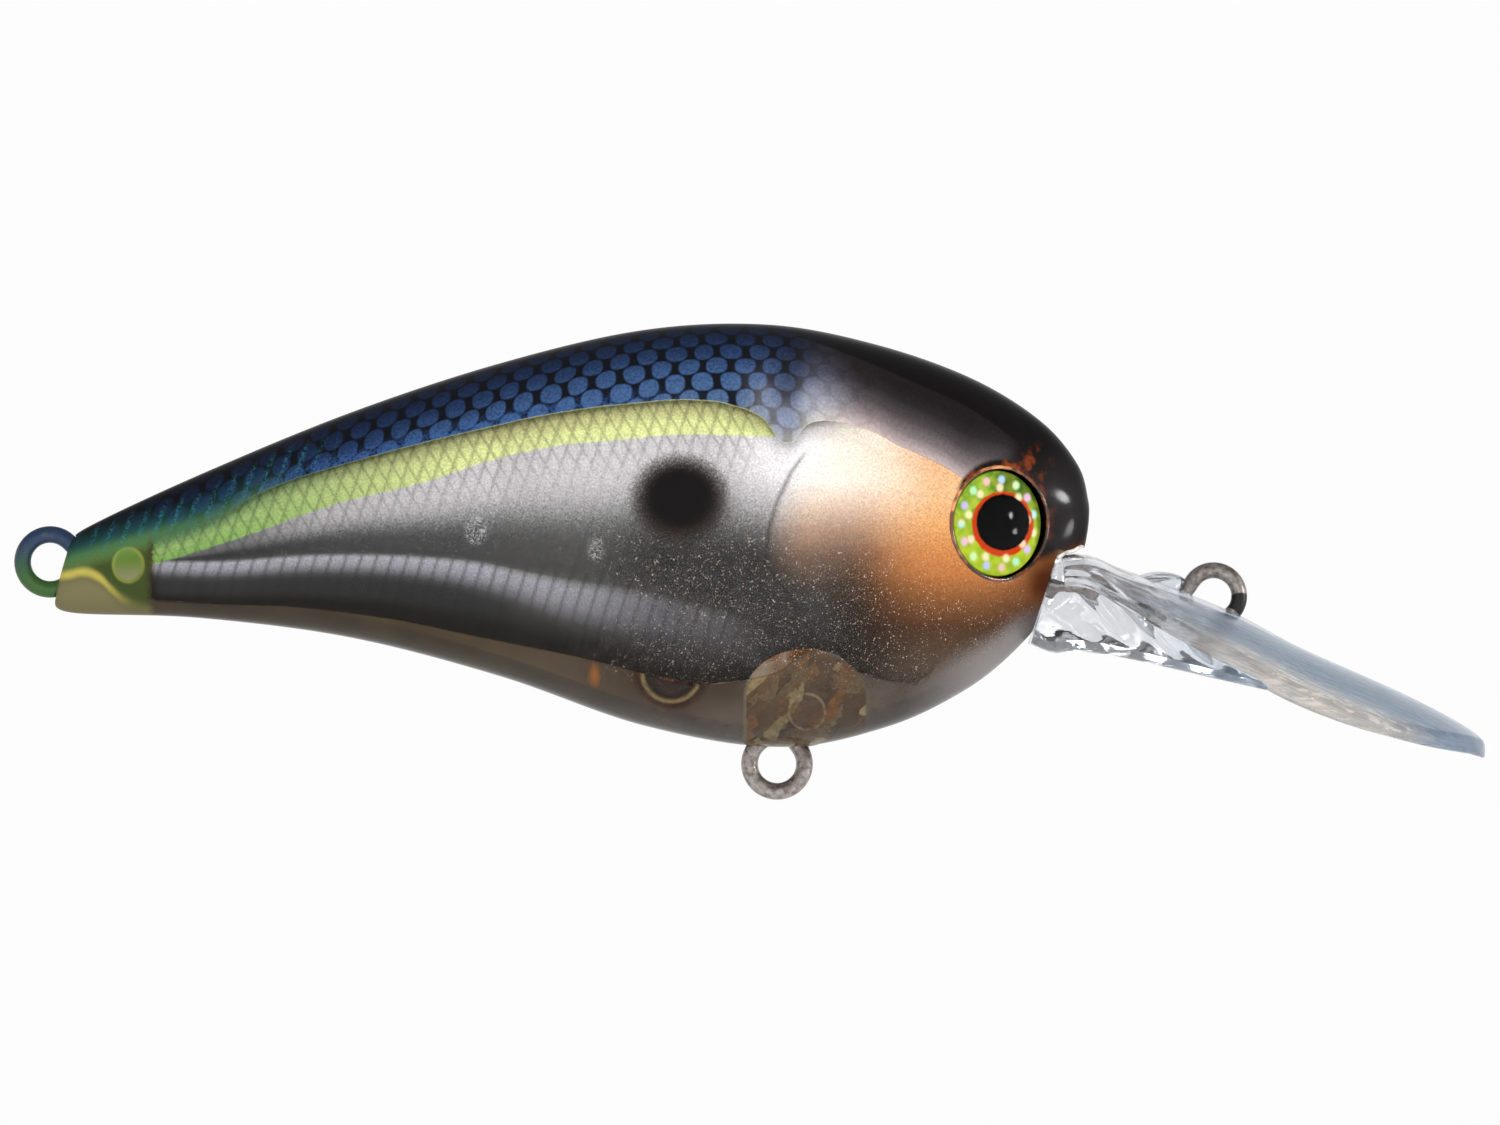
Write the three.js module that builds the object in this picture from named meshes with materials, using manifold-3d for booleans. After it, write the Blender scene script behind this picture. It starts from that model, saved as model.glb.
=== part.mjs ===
// A crankbait fishing lure: two hollow shell halves, foil inserts, a diving lip, three wire eyes,
// domed eyes, a fixed ballast and three loose balls that knock from side to side.
// Millimetres, +X towards the head, +Z up, the origin at the centre of the line tie's eye.
// Shapes are drawn in the body's own frame, whose x runs from 0 at the tail to the nose.

import * as THREE from 'three';
import { mergeVertices } from 'three/addons/utils/BufferGeometryUtils.js';
import Module from 'manifold-3d';

const wasm = await Module();
wasm.setup();

// ---------------------------------------------------------------- driving dimensions

const wall = 1.2;               // shell wall
const foilThickness = 0.25;
const foilGap = 0.2;            // between a shell's inside and its foil, and behind the foil
const partingGap = 0.05;        // from each half's rim to the centre plane
const fitGap = 0.15;            // round anything set into a shell or the lip
const sectionPower = 2.2;       // superellipse power of the body's cross-sections

const wireRadius = 0.475;
const hangerLoop = 1.55;        // from a hanger eye's centre to the middle of its wire
const tieWireRadius = 0.45;
const tieLoop = 1.45;           // from the line tie's centre to the middle of its wire

const tieCentre = new THREE.Vector2(65.05, -1.91);
const bellyEye = new THREE.Vector2(40.5, -11.36);
const bellyPost = new THREE.Vector2(42.16, -8.35);
const tailEye = new THREE.Vector2(-0.39, 0);
const tailPost = new THREE.Vector2(4.16, -0.17);

const eyeCentre = new THREE.Vector2(53.04, 2.14);
const eyeRadius = 2.95;
const eyeYaw = THREE.MathUtils.degToRad(33);   // how far the eyes turn towards the nose
const eyeSocketDepth = 1.0;
const eyeDiscThickness = 0.25;
const eyeDomeHeight = 0.85;

const lipTip = 80.3;
const lipHalfWidth = 8;
const lipRise = 2.4;            // how far the blade's middle stands above its edges
const lipThickness = 1.0;

const slotTop = new THREE.Vector2(56.2, 0.35);     // the head's cut for the lip's root
const slotFoot = new THREE.Vector2(54.25, -6);
const tenonLength = 4.2;
const tenonHalfWidth = 1.7;
const tenonHalfHeight = 1.25;

// Pockets across the body: centre, radius of what they hold, and half their clear length.
const pockets = {
  ballast: { x: 47.4, z: -3.4, radius: 2.2, reach: 2.4 },
  weight: { x: 34.6, z: -6.16, radius: 1.5, reach: 2.2 },
  rattleFront: { x: 30.2, z: -1.6, radius: 1.0, reach: 3.0 },
  rattleRear: { x: 24.2, z: 0.2, radius: 1.0, reach: 2.6 },
};
const pocketClearance = 0.25;
const pocketWall = 0.6;
const webThickness = 0.9;

// ---------------------------------------------------------------- the body's form

// A smooth line in the side view, through [x, z] pairs.
const points2 = (pairs) => new THREE.SplineCurve(pairs.map(([x, z]) => new THREE.Vector2(x, z)));

// Stations from the tail to the nose: top of the back, bottom of the belly, half width.
const backLine = points2([
  [0.75, 1.0], [1.7, 1.95], [8, 4.9], [16.5, 8.4], [25, 11.2], [33, 13.05], [40, 13.35],
  [46, 12.25], [51.4, 10.35], [55.3, 7.95], [57.4, 5.5], [58.0, 3.5], [58.05, 2.5],
]);
const bellyLine = points2([
  [-0.1, -2.0], [0.8, -2.85], [8, -3.15], [16.5, -4.25], [25, -6.45], [33, -9.2], [40.6, -10.42],
  [46.6, -9.3], [51, -7.25], [53.9, -4.95], [56.2, -2.2], [57.6, 0.3], [57.95, 1.6],
]);
const widths = [0.75, 1.4, 2.8, 4.3, 5.6, 6.5, 6.8, 6.6, 5.6, 3.45, 1.95, 1.0, 0.4];
const widthLine = points2(widths.map((width, index) => [index, width]));

// The middle, half height, direction and half width of the section at t, from 0 to 1.
function section(t, inset) {
  const top = backLine.getPoint(t);
  const bottom = bellyLine.getPoint(t);
  const up = top.clone().sub(bottom);
  const halfHeight = up.length() / 2;
  return {
    middle: top.add(bottom).multiplyScalar(0.5),
    up: up.normalize(),
    halfHeight: halfHeight - inset,
    halfWidth: widthLine.getPoint(t).y - inset,
  };
}

// A point on a section, at an angle that runs from the back over the right flank to the belly.
function skinPoint(t, angle, inset = 0) {
  const { middle, up, halfHeight, halfWidth } = section(t, inset);
  const power = 2 / sectionPower;
  const rise = halfHeight * Math.sign(Math.cos(angle)) * Math.abs(Math.cos(angle)) ** power;
  const side = halfWidth * Math.sign(Math.sin(angle)) * Math.abs(Math.sin(angle)) ** power;
  return new THREE.Vector3(middle.x + up.x * rise, -side, middle.y + up.y * rise);
}

// The station whose section passes through a point of the side view, found by halving.
function stationAt(x, z) {
  let low = 0;
  let high = 1;
  for (let step = 0; step < 30; step += 1) {
    const t = (low + high) / 2;
    const { middle, up } = section(t, 0);
    const ahead = (x - middle.x) * up.y - (z - middle.y) * up.x > 0;
    if (ahead) low = t;
    else high = t;
  }
  return low;
}

// The angle on a section at which it reaches a height, and the flank's half width there.
function angleAt(t, x, z, inset) {
  const { middle, up, halfHeight } = section(t, inset);
  const rise = ((x - middle.x) * up.x + (z - middle.y) * up.y) / halfHeight;
  const capped = THREE.MathUtils.clamp(rise, -1, 1);
  return Math.acos(Math.sign(capped) * Math.abs(capped) ** (sectionPower / 2));
}

function flankWidth(x, z, inset = 0) {
  const t = stationAt(x, z);
  return -skinPoint(t, angleAt(t, x, z, inset), inset).y;
}

// ---------------------------------------------------------------- solids

// Joins rings of points into one closed surface. Each ring holds two rows, one there and one back,
// and the strip between the rows closes each end.
function loft(rings) {
  const count = rings[0].length;
  const row = count / 2;
  const positions = rings.flat().flatMap((point) => [point.x, point.y, point.z]);
  const triangles = [];
  const quad = (a, b, c, d) => triangles.push(a, b, c, a, c, d);
  for (let ring = 0; ring < rings.length - 1; ring += 1) {
    for (let index = 0; index < count; index += 1) {
      const next = (index + 1) % count;
      const start = ring * count;
      quad(start + index, start + next, start + count + next, start + count + index);
    }
  }
  for (let index = 0; index < row - 1; index += 1) {
    const last = (rings.length - 1) * count;
    quad(count - 1 - index, count - 2 - index, index + 1, index);
    quad(last + index, last + index + 1, last + count - 2 - index, last + count - 1 - index);
  }
  const geometry = new THREE.BufferGeometry();
  geometry.setAttribute('position', new THREE.Float32BufferAttribute(positions, 3));
  geometry.setIndex(signedVolume(positions, triangles) > 0 ? triangles : triangles.reverse());
  return geometry;
}

function signedVolume(positions, triangles) {
  const corner = (index) => new THREE.Vector3().fromArray(positions, index * 3);
  let volume = 0;
  for (let start = 0; start < triangles.length; start += 3) {
    const [a, b, c] = triangles.slice(start, start + 3).map(corner);
    volume += a.dot(b.cross(c)) / 6;
  }
  return volume;
}

function solid(geometry) {
  const bare = geometry.clone();
  bare.deleteAttribute('normal');
  bare.deleteAttribute('uv');
  const merged = mergeVertices(bare, 1e-5);
  return new wasm.Manifold(new wasm.Mesh({
    numProp: 3,
    vertProperties: new Float32Array(merged.attributes.position.array),
    triVerts: new Uint32Array(merged.index.array),
  }));
}

function geometryOf(manifold) {
  const { vertProperties, triVerts } = manifold.getMesh();
  const geometry = new THREE.BufferGeometry();
  geometry.setAttribute('position', new THREE.BufferAttribute(vertProperties, 3));
  geometry.setIndex(new THREE.BufferAttribute(triVerts, 1));
  return geometry;
}

const union = (parts) => parts.reduce((whole, part) => whole.add(part));

function block(x0, x1, y0, y1, z0, z1) {
  const box = new THREE.BoxGeometry(x1 - x0, y1 - y0, z1 - z0);
  return solid(box.translate((x0 + x1) / 2, (y0 + y1) / 2, (z0 + z1) / 2));
}

// A cylinder across the body.
function crossBar(x, z, radius, halfLength, sides = 16) {
  const bar = new THREE.CylinderGeometry(radius, radius, 2 * halfLength, sides);
  return bar.translate(x, 0, z);
}

// An outline in the side view, given a thickness across the body.
function slab(outline, halfWidth) {
  const shape = new THREE.Shape(outline.map(([x, z]) => new THREE.Vector2(x, z)));
  const flat = new THREE.ExtrudeGeometry(shape, { depth: 2 * halfWidth, bevelEnabled: false });
  return solid(flat.rotateX(Math.PI / 2).translate(0, halfWidth, 0));
}

function wire(route, radius, steps, halfSides = 5) {
  const round = new THREE.Shape().absarc(0, 0, radius, 0, 2 * Math.PI);
  return new THREE.ExtrudeGeometry(round, {
    steps,
    curveSegments: halfSides,
    bevelEnabled: false,
    extrudePath: new THREE.CatmullRomCurve3(route),
  });
}

function spaced(from, to, steps) {
  return Array.from({ length: steps + 1 }, (_, index) => from + (to - from) * index / steps);
}

// The body as a solid, its skin moved inwards by the inset. The stations lie closer at both ends.
function bodySolid(inset, from = 0, to = 1) {
  const stations = 25;
  const pointsAround = 22;
  const angles = spaced(0, 2 * Math.PI, pointsAround).slice(0, -1);
  const rings = spaced(0, Math.PI, stations).map((turn) => {
    const t = from + (to - from) * (1 - Math.cos(turn)) / 2;
    return angles.map((angle) => skinPoint(t, angle, inset));
  });
  return solid(loft(rings));
}

// ---------------------------------------------------------------- foil inserts

const foilFoot = points2([
  [7.5, -2.1], [20, -3.4], [30, -5.4], [37, -6.6], [42.8, -4.9], [49.2, -6],
]);
const foilCrown = Math.PI / 7;      // the angle from the back at which a foil starts

// A sheet that follows one flank between two depths, its lower edge moved down by extra.
function flankSheet(side, outerInset, innerInset, extra) {
  const rows = 7;
  const rings = spaced(0, 1, 14).map((share) => {
    const foot = foilFoot.getPoint(share);
    const t = stationAt(foot.x, foot.y - extra);
    const last = angleAt(t, foot.x, foot.y - extra, outerInset);
    const first = foilCrown - extra / 20;
    const angles = spaced(first, last, rows - 1);
    const outer = angles.map((angle) => skinPoint(t, side * angle, outerInset));
    const inner = angles.map((angle) => skinPoint(t, side * angle, innerInset));
    return [...outer, ...inner.reverse()];
  });
  return solid(loft(rings));
}

const foilOutside = wall + foilGap;
const foilInside = foilOutside + foilThickness;
const foilFootGap = 0.35;
const foil = (side) => flankSheet(side, foilOutside, foilInside, 0);
const foilSpace = (side) => flankSheet(side, wall - 0.1, foilInside + foilGap, foilFootGap);

// ---------------------------------------------------------------- hanger wires

// A figure-eight wire: once round the eye, a crossing, and once round the post, ends butted there.
function hangerRoute(eye, post) {
  const along = post.clone().sub(eye);
  const distance = along.length();
  along.normalize();
  const tangent = Math.acos(2 * hangerLoop / distance);
  const place = (centre, angle, sign) => {
    const u = centre + hangerLoop * Math.cos(angle);
    const v = hangerLoop * Math.sin(angle);
    const fromCrossing = Math.hypot(u - distance / 2, v);
    const aside = sign * (wireRadius + 0.05) * Math.exp(-((fromCrossing / hangerLoop) ** 2));
    const x = eye.x + along.x * u - along.y * v;
    const z = eye.y + along.y * u + along.x * v;
    return new THREE.Vector3(x, aside, z);
  };
  const crossing = (sign) => new THREE.Vector3(
    eye.x + along.x * distance / 2, sign * (wireRadius + 0.05), eye.y + along.y * distance / 2,
  );
  const buttGap = 0.08;
  const halfPost = spaced(buttGap, Math.PI - tangent, 7);
  const halfEye = spaced(-tangent, -Math.PI, 7);
  return [
    ...halfPost.map((angle) => place(distance, angle, 1)),
    crossing(1),
    ...halfEye.map((angle) => place(0, angle, 1)),
    ...halfEye.slice(0, -1).reverse().map((angle) => place(0, -angle, -1)),
    crossing(-1),
    ...halfPost.reverse().map((angle) => place(distance, -angle, -1)),
  ];
}

const hangerSteps = 44;
const channelSteps = 36;
const bellyRoute = hangerRoute(bellyEye, bellyPost);
const tailRoute = hangerRoute(tailEye, tailPost);
const hanger = (route) => wire(route, wireRadius, hangerSteps);
const hangerChannel = (route) => wire(route, wireRadius + fitGap, channelSteps, 4);

// The line tie: a short end down in the lip, round the eye, and a long shank back into the head.
function tieRoute() {
  const onLoop = (angle) => new THREE.Vector2(
    tieCentre.x + tieLoop * Math.cos(angle), tieCentre.y + tieLoop * Math.sin(angle),
  );
  const start = THREE.MathUtils.degToRad(-55);
  const end = THREE.MathUtils.degToRad(152);
  const flat = [
    new THREE.Vector2(64.95, -4.35),
    ...spaced(start, end, 9).map(onLoop),
    new THREE.Vector2(63.35, -1.75),
    new THREE.Vector2(62.5, -2.25),
    new THREE.Vector2(60.6, -2.0),
    new THREE.Vector2(57.4, -1.25),
    new THREE.Vector2(53.6, -1.35),
  ];
  return flat.map((point) => new THREE.Vector3(point.x, 0, point.y));
}

const tie = () => wire(tieRoute(), tieWireRadius, 40);
const tieChannel = () => wire(tieRoute(), tieWireRadius + fitGap, 34, 4);

// ---------------------------------------------------------------- eyes

const eyeDepthAxis = (side) => new THREE.Vector3(Math.sin(eyeYaw), side * Math.cos(eyeYaw), 0);

// Turns a shape drawn about +Z so that it looks out of the eye, with z = 0 at the skin.
function onEye(geometry, side) {
  const turn = new THREE.Quaternion().setFromUnitVectors(new THREE.Vector3(0, 0, 1), eyeDepthAxis(side));
  const width = flankWidth(eyeCentre.x, eyeCentre.y);
  return geometry.clone().applyQuaternion(turn).translate(eyeCentre.x, side * width, eyeCentre.y);
}

function eyeRod(radius, from, to) {
  const rod = new THREE.CylinderGeometry(radius, radius, to - from, 24).rotateX(Math.PI / 2);
  return rod.translate(0, 0, (from + to) / 2);
}

const discBase = -eyeSocketDepth + 0.3;
const domeBase = discBase + eyeDiscThickness + 0.05;

function eyeDome() {
  const arcRadius = (eyeRadius ** 2 + eyeDomeHeight ** 2) / (2 * eyeDomeHeight);
  const spread = Math.asin(eyeRadius / arcRadius);
  const profile = spaced(spread, 0, 6).map((angle) => new THREE.Vector2(
    arcRadius * Math.sin(angle), eyeDomeHeight - arcRadius * (1 - Math.cos(angle)),
  ));
  profile.at(-1).x = 0;
  const dome = new THREE.LatheGeometry([new THREE.Vector2(0, 0), ...profile], 24);
  return dome.rotateX(Math.PI / 2).translate(0, 0, domeBase);
}

// ---------------------------------------------------------------- diving lip

const lipRidge = points2([
  [55.2, 0.1], [57.7, 0.45], [59.8, -0.34], [63.2, -1.6], [66.5, -3.0], [69.9, -4.8], [75.5, -7.3],
  [78.9, -9.06], [lipTip, -10.1],
]);
const keelEnd = 68;
const lipKeel = points2([
  [54.4, -4.5], [55.9, -5.06], [57.2, -5.0], [59.8, -5.34], [64.3, -6.36], [keelEnd, -7.2],
]);

function heightOn(curve, x) {
  let low = 0;
  let high = 1;
  for (let step = 0; step < 30; step += 1) {
    const t = (low + high) / 2;
    if (curve.getPoint(t).x < x) low = t;
    else high = t;
  }
  return curve.getPoint(low).y;
}

// Half the blade's width: it widens from the root, runs nearly parallel and ends in a round tip.
function bladeHalfWidth(x) {
  const rootX = 56;
  const wideX = 66;
  const roundX = 69;
  const flare = THREE.MathUtils.smoothstep(x, rootX - 4, wideX);
  const root = 3.6;
  const parallel = root + (lipHalfWidth - root) * flare;
  const past = Math.max(0, (x - roundX) / (lipTip - roundX));
  return parallel * Math.sqrt(Math.max(0, 1 - past ** 2.6));
}

function blade() {
  const first = slotTop.x + 0.3;
  const last = lipTip - 0.02;
  const columns = 9;
  const rings = spaced(0, Math.PI / 2, 22).map((turn) => {
    const x = first + (last - first) * Math.sin(turn);
    const halfWidth = bladeHalfWidth(x);
    const ridge = heightOn(lipRidge, x);
    const top = spaced(-1, 1, columns - 1).map((share) => {
      const y = share * halfWidth;
      return new THREE.Vector3(x, y, ridge - lipRise * (y / lipHalfWidth) ** 2);
    });
    const under = top.map((point) => point.clone().setZ(point.z - lipThickness));
    return [...top, ...under.reverse()];
  });
  return solid(loft(rings));
}

// The block under the blade's root, its sides leaning in towards the keel.
function rootBlock() {
  const widthAtRoot = 3.3;
  const widthAtEnd = 1.6;
  const underRidge = 0.35;
  const rings = spaced(slotTop.x - 2.2, keelEnd, 12).map((x) => {
    const share = (x - slotTop.x) / (keelEnd - slotTop.x);
    const halfWidth = THREE.MathUtils.lerp(widthAtRoot, widthAtEnd, THREE.MathUtils.clamp(share, 0, 1));
    const top = heightOn(lipRidge, x) - underRidge;
    const keel = heightOn(lipKeel, x);
    const corner = (across, height) => new THREE.Vector3(x, across * halfWidth, height);
    const waist = THREE.MathUtils.lerp(keel, top, 0.3);
    return [
      corner(-1, top), corner(-1, waist), corner(-0.6, keel),
      corner(0.6, keel), corner(1, waist), corner(1, top),
    ];
  });
  return solid(loft(rings));
}

// The cut in the head that the root stands in: everything ahead of a line down the head's face.
function rootSlot(extra) {
  const back = slotTop.x - extra;
  const foot = slotFoot.x - extra;
  const ahead = lipTip + 10;
  const below = -20;
  return slab([
    [back, slotTop.y + extra], [slotTop.x + 2.4, slotTop.y + 0.65 + extra], [ahead, 2],
    [ahead, below], [foot - 0.9, below], [foot, slotFoot.y],
  ], lipHalfWidth + 1);
}

function tenon(extra) {
  const halfHeight = tenonHalfHeight + extra;
  const halfWidth = tenonHalfWidth + extra;
  const middle = slotTop.y - 1.9;
  const start = slotTop.x - tenonLength - extra;
  const end = slotTop.x + 0.4;
  return block(start, end, -halfWidth, halfWidth, middle - halfHeight, middle + halfHeight);
}

function lipSolid() {
  const shaped = blade().add(rootBlock()).intersect(rootSlot(0));
  return shaped.add(tenon(0)).subtract(solid(tieChannel()));
}

// ---------------------------------------------------------------- shells

const underBelly = -12;

// The tube that a ball or the ballast sits in, with a web down to the belly.
function pocketSolid({ x, z, radius, reach }) {
  const tube = crossBar(x, z, radius + pocketClearance + pocketWall, reach + pocketWall);
  const webSide = webThickness / 2;
  const web = block(x - webSide, x + webSide, -reach, reach, underBelly, z - radius);
  return solid(tube).add(web);
}

const pocketBore = ({ x, z, radius, reach }) => solid(crossBar(x, z, radius + pocketClearance, reach));

// The block round the belly hanger, domed on top.
function hangerBlock() {
  const centre = 42.1;
  const halfLength = 3.5;
  const shoulder = -7.6;
  const domeHeight = 2.76;
  const arch = spaced(0, Math.PI, 12).map((angle) => [
    centre + halfLength * Math.cos(angle), shoulder + domeHeight * Math.sin(angle),
  ]);
  return slab([...arch, [centre - halfLength, underBelly], [centre + halfLength, underBelly]], 8);
}

// The slot that a hanger's eye stands in.
function eyeSlot(eye) {
  const reach = wireRadius + fitGap;
  return solid(crossBar(eye.x, eye.y, hangerLoop + reach, reach));
}

const eyePadWall = 0.9;
const eyeSocketGap = 0.3;
const eyePad = (side) => solid(onEye(eyeRod(eyeRadius + eyePadWall, -eyeSocketDepth - 1, 0), side));
const eyeSocket = (side) => solid(onEye(eyeRod(eyeRadius + eyeSocketGap, -eyeSocketDepth, 3), side));

function shells() {
  const hollowStart = 0.16;
  const hollowEnd = 0.845;
  const outside = bodySolid(0);
  const hollow = bodySolid(wall, hollowStart, hollowEnd);
  const pocketList = Object.values(pockets);
  const inner = union([...pocketList.map(pocketSolid), hangerBlock()])
    .subtract(foilSpace(1))
    .subtract(foilSpace(-1));
  const sides = [1, -1];
  const kept = union([inner, ...sides.map(eyePad)]).intersect(outside);
  const cuts = union([
    ...pocketList.map(pocketBore),
    ...sides.map(eyeSocket),
    rootSlot(fitGap),
    tenon(2 * fitGap),
    ...[bellyRoute, tailRoute].map((route) => solid(hangerChannel(route))),
    ...[bellyEye, tailEye].map(eyeSlot),
  ]);
  return outside.subtract(hollow).add(kept).subtract(cuts);
}

// One half of the body, on the fish's left for 1 and on its right for -1.
function half(whole, side) {
  const near = side * partingGap;
  const far = side * 20;
  const leftOrRight = block(-20, 100, Math.min(near, far), Math.max(near, far), -30, 30);
  return whole.intersect(leftOrRight);
}

// ---------------------------------------------------------------- the assembly

const finish = (color, roughness, metalness, opacity = 1) => new THREE.MeshStandardMaterial({
  color, roughness, metalness, opacity, transparent: opacity < 1,
});
const looks = {
  shell: finish('#5d6068', 0.12, 0.1),
  foil: finish('#c9c7c9', 0.3, 0.9),
  lip: finish('#c3cdd6', 0.08, 0, 0.5),
  steel: finish('#8d8884', 0.35, 0.9),
  print: finish('#9ccb2f', 0.25, 0.3),
  dome: finish('#dfe8e0', 0.04, 0, 0.4),
  tungsten: finish('#5b5750', 0.4, 0.9),
  brass: finish('#b08d4a', 0.25, 0.9),
};

const group = new THREE.Group();
group.name = 'crankbait';
const body = new THREE.Group();
body.position.set(-tieCentre.x, 0, -tieCentre.y);
group.add(body);

function place(name, geometry, material) {
  const mesh = new THREE.Mesh(geometryOf(geometry), material);
  mesh.name = name;
  body.add(mesh);
}

const shellPair = shells();
for (const [word, side] of [['right', -1], ['left', 1]]) {
  place(`body_shell_${word}`, half(shellPair, side), looks.shell);
  place(`foil_insert_${word}`, foil(-side), looks.foil);
  const disc = eyeRod(eyeRadius, discBase, discBase + eyeDiscThickness);
  place(`eye_disc_${word}`, solid(onEye(disc, side)), looks.print);
  place(`eye_dome_${word}`, solid(onEye(eyeDome(), side)), looks.dome);
}
place('diving_lip', lipSolid(), looks.lip);
place('line_tie', solid(tie()), looks.steel);
place('belly_hanger', solid(hanger(bellyRoute)), looks.steel);
place('tail_hanger', solid(hanger(tailRoute)), looks.steel);

const { x: ballastX, z: ballastZ, radius: ballastRadius, reach: ballastReach } = pockets.ballast;
const ballast = crossBar(ballastX, ballastZ, ballastRadius, ballastReach - fitGap);
place('ballast_weight', solid(ballast), looks.tungsten);

for (const [name, { x, z, radius }, material] of [
  ['weight_ball', pockets.weight, looks.brass],
  ['rattle_ball_front', pockets.rattleFront, looks.steel],
  ['rattle_ball_rear', pockets.rattleRear, looks.steel],
]) {
  place(name, solid(new THREE.SphereGeometry(radius, 16, 10).translate(x, 0, z)), material);
}

export default group;
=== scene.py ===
"""The looks of a crankbait lure: clear shells over embossed foil inserts, a clear diving lip, wire eyes.

Lengths in the body's own frame are in millimetres: x runs from 0 at the tail to the nose, y to the
fish's left and z up. The row frame is in metres, with its origin at the centre of the line tie's eye.
"""

import math

import bmesh
import bpy
import numpy as np
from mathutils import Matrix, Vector


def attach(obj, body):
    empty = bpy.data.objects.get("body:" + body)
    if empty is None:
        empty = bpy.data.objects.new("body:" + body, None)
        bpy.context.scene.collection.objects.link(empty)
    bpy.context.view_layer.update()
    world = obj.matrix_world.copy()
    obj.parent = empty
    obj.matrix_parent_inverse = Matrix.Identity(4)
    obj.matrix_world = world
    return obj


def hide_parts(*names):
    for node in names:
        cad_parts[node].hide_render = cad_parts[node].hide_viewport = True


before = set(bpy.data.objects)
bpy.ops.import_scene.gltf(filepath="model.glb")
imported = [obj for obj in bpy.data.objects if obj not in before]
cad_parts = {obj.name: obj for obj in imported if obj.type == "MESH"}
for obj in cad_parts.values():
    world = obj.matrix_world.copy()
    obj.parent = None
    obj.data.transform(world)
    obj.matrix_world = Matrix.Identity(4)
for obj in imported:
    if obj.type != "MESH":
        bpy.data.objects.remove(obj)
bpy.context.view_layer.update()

# ---------------------------------------------------------------- driving dimensions

MM = 0.001
WALL = 1.2
FOIL_DEPTH = 1.3  # from the skin to a foil's outer face, where the body is full
FOIL_DEPTH_AT_TAIL = 0.3
FOIL_THICKNESS = 0.25
PARTING_GAP = 0.004
SECTION_POWER = 2.2

WIRE_RADIUS = 0.475
HANGER_LOOP = 1.55
TIE_RADIUS = 0.45
TIE_LOOP = 1.45

TIE = Vector((65.05, -1.91))
BELLY_EYE = Vector((40.5, -11.36))
BELLY_POST = Vector((42.16, -8.35))
TAIL_EYE = Vector((-0.39, 0.0))
TAIL_POST = Vector((4.16, -0.17))

WEIGHT = (34.6, -6.16)
WEIGHT_RADIUS = 1.5
FRONT_RATTLE = (30.2, -1.6)
REAR_RATTLE = (24.2, 0.2)
RATTLE_RADIUS = 1.0

EYE = Vector((53.04, 2.14))
EYE_RADIUS = 2.95
EYE_YAW = math.radians(33)
SOCKET_DEPTH = 1.0
DISC_BASE = -0.70  # along the eye's axis, from the skin
DISC_THICKNESS = 0.25
DOME_BASE = -0.40
DOME_HEIGHT = 0.85

BELOW_BELLY = -12  # lower than the whole body, for the foot of a cutter

LIP_TIP = 80.3
LIP_HALF_WIDTH = 8.0
LIP_RISE = 2.4
LIP_THICKNESS = 1.0
SLOT_TOP = Vector((56.2, 0.35))
SLOT_FOOT = Vector((54.25, -6.0))

RIB_PITCH = 0.86
SCALE_PITCH = 1.56
SCALE_ROW = 1.06


def to_row(points):
    """Body millimetres to row-frame metres."""
    shifted = np.asarray(points, float) - np.array([TIE.x, 0.0, TIE.y])
    return shifted * MM


# ---------------------------------------------------------------- the body's form

BACK = [
    (0.75, 1.0), (1.7, 1.95), (8, 4.9), (16.5, 8.4), (25, 11.2), (33, 13.05), (40, 13.35),
    (46, 12.25), (51.4, 10.35), (55.3, 7.95), (57.4, 5.5), (58.0, 3.5), (58.05, 2.5),
]
BELLY = [
    (-0.1, -2.0), (0.8, -2.85), (8, -3.15), (16.5, -4.25), (25, -6.45), (33, -9.2), (40.6, -10.42),
    (46.6, -9.3), (51, -7.25), (53.9, -4.95), (56.2, -2.2), (57.6, 0.3), (57.95, 1.6),
]
WIDTHS = [0.75, 1.4, 2.8, 4.3, 5.6, 6.5, 6.8, 6.6, 5.6, 3.45, 1.95, 1.0, 0.4]


def spline(points, share):
    """A point, or points, at a share from 0 to 1 of a smooth line through evenly spaced stations."""
    points = np.asarray(points, float)
    if points.ndim == 1:
        points = points[:, None]
    last = len(points) - 1
    place = np.clip(np.asarray(share, float), 0, 1) * last
    index = np.minimum(place.astype(int), last - 1)
    t = (place - index)[..., None]
    before = points[np.maximum(index - 1, 0)]
    start = points[index]
    end = points[index + 1]
    after = points[np.minimum(index + 2, last)]
    leave = (end - before) / 2
    arrive = (after - start) / 2
    cubic = 2 * start - 2 * end + leave + arrive
    square = -3 * start + 3 * end - 2 * leave - arrive
    return cubic * t**3 + square * t**2 + leave * t + start


def section(t, inset=0.0):
    top = spline(BACK, t)
    bottom = spline(BELLY, t)
    up = top - bottom
    height = np.linalg.norm(up, axis=-1, keepdims=True)
    return (top + bottom) / 2, up / height, height[..., 0] / 2 - inset, spline(WIDTHS, t)[..., 0] - inset


def signed_power(value, power):
    return np.sign(value) * np.abs(value) ** power


def skin(t, angle, inset=0.0):
    """Points on the sections: the angle runs from the back over the right flank to the belly."""
    t, angle, inset = np.broadcast_arrays(
        np.asarray(t, float), np.asarray(angle, float), np.asarray(inset, float)
    )
    middle, up, half_height, half_width = section(t, inset)
    rise = half_height * signed_power(np.cos(angle), 2 / SECTION_POWER)
    side = half_width * signed_power(np.sin(angle), 2 / SECTION_POWER)
    x = middle[..., 0] + up[..., 0] * rise
    z = middle[..., 1] + up[..., 1] * rise
    return np.stack([x, -side, z], axis=-1)


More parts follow.
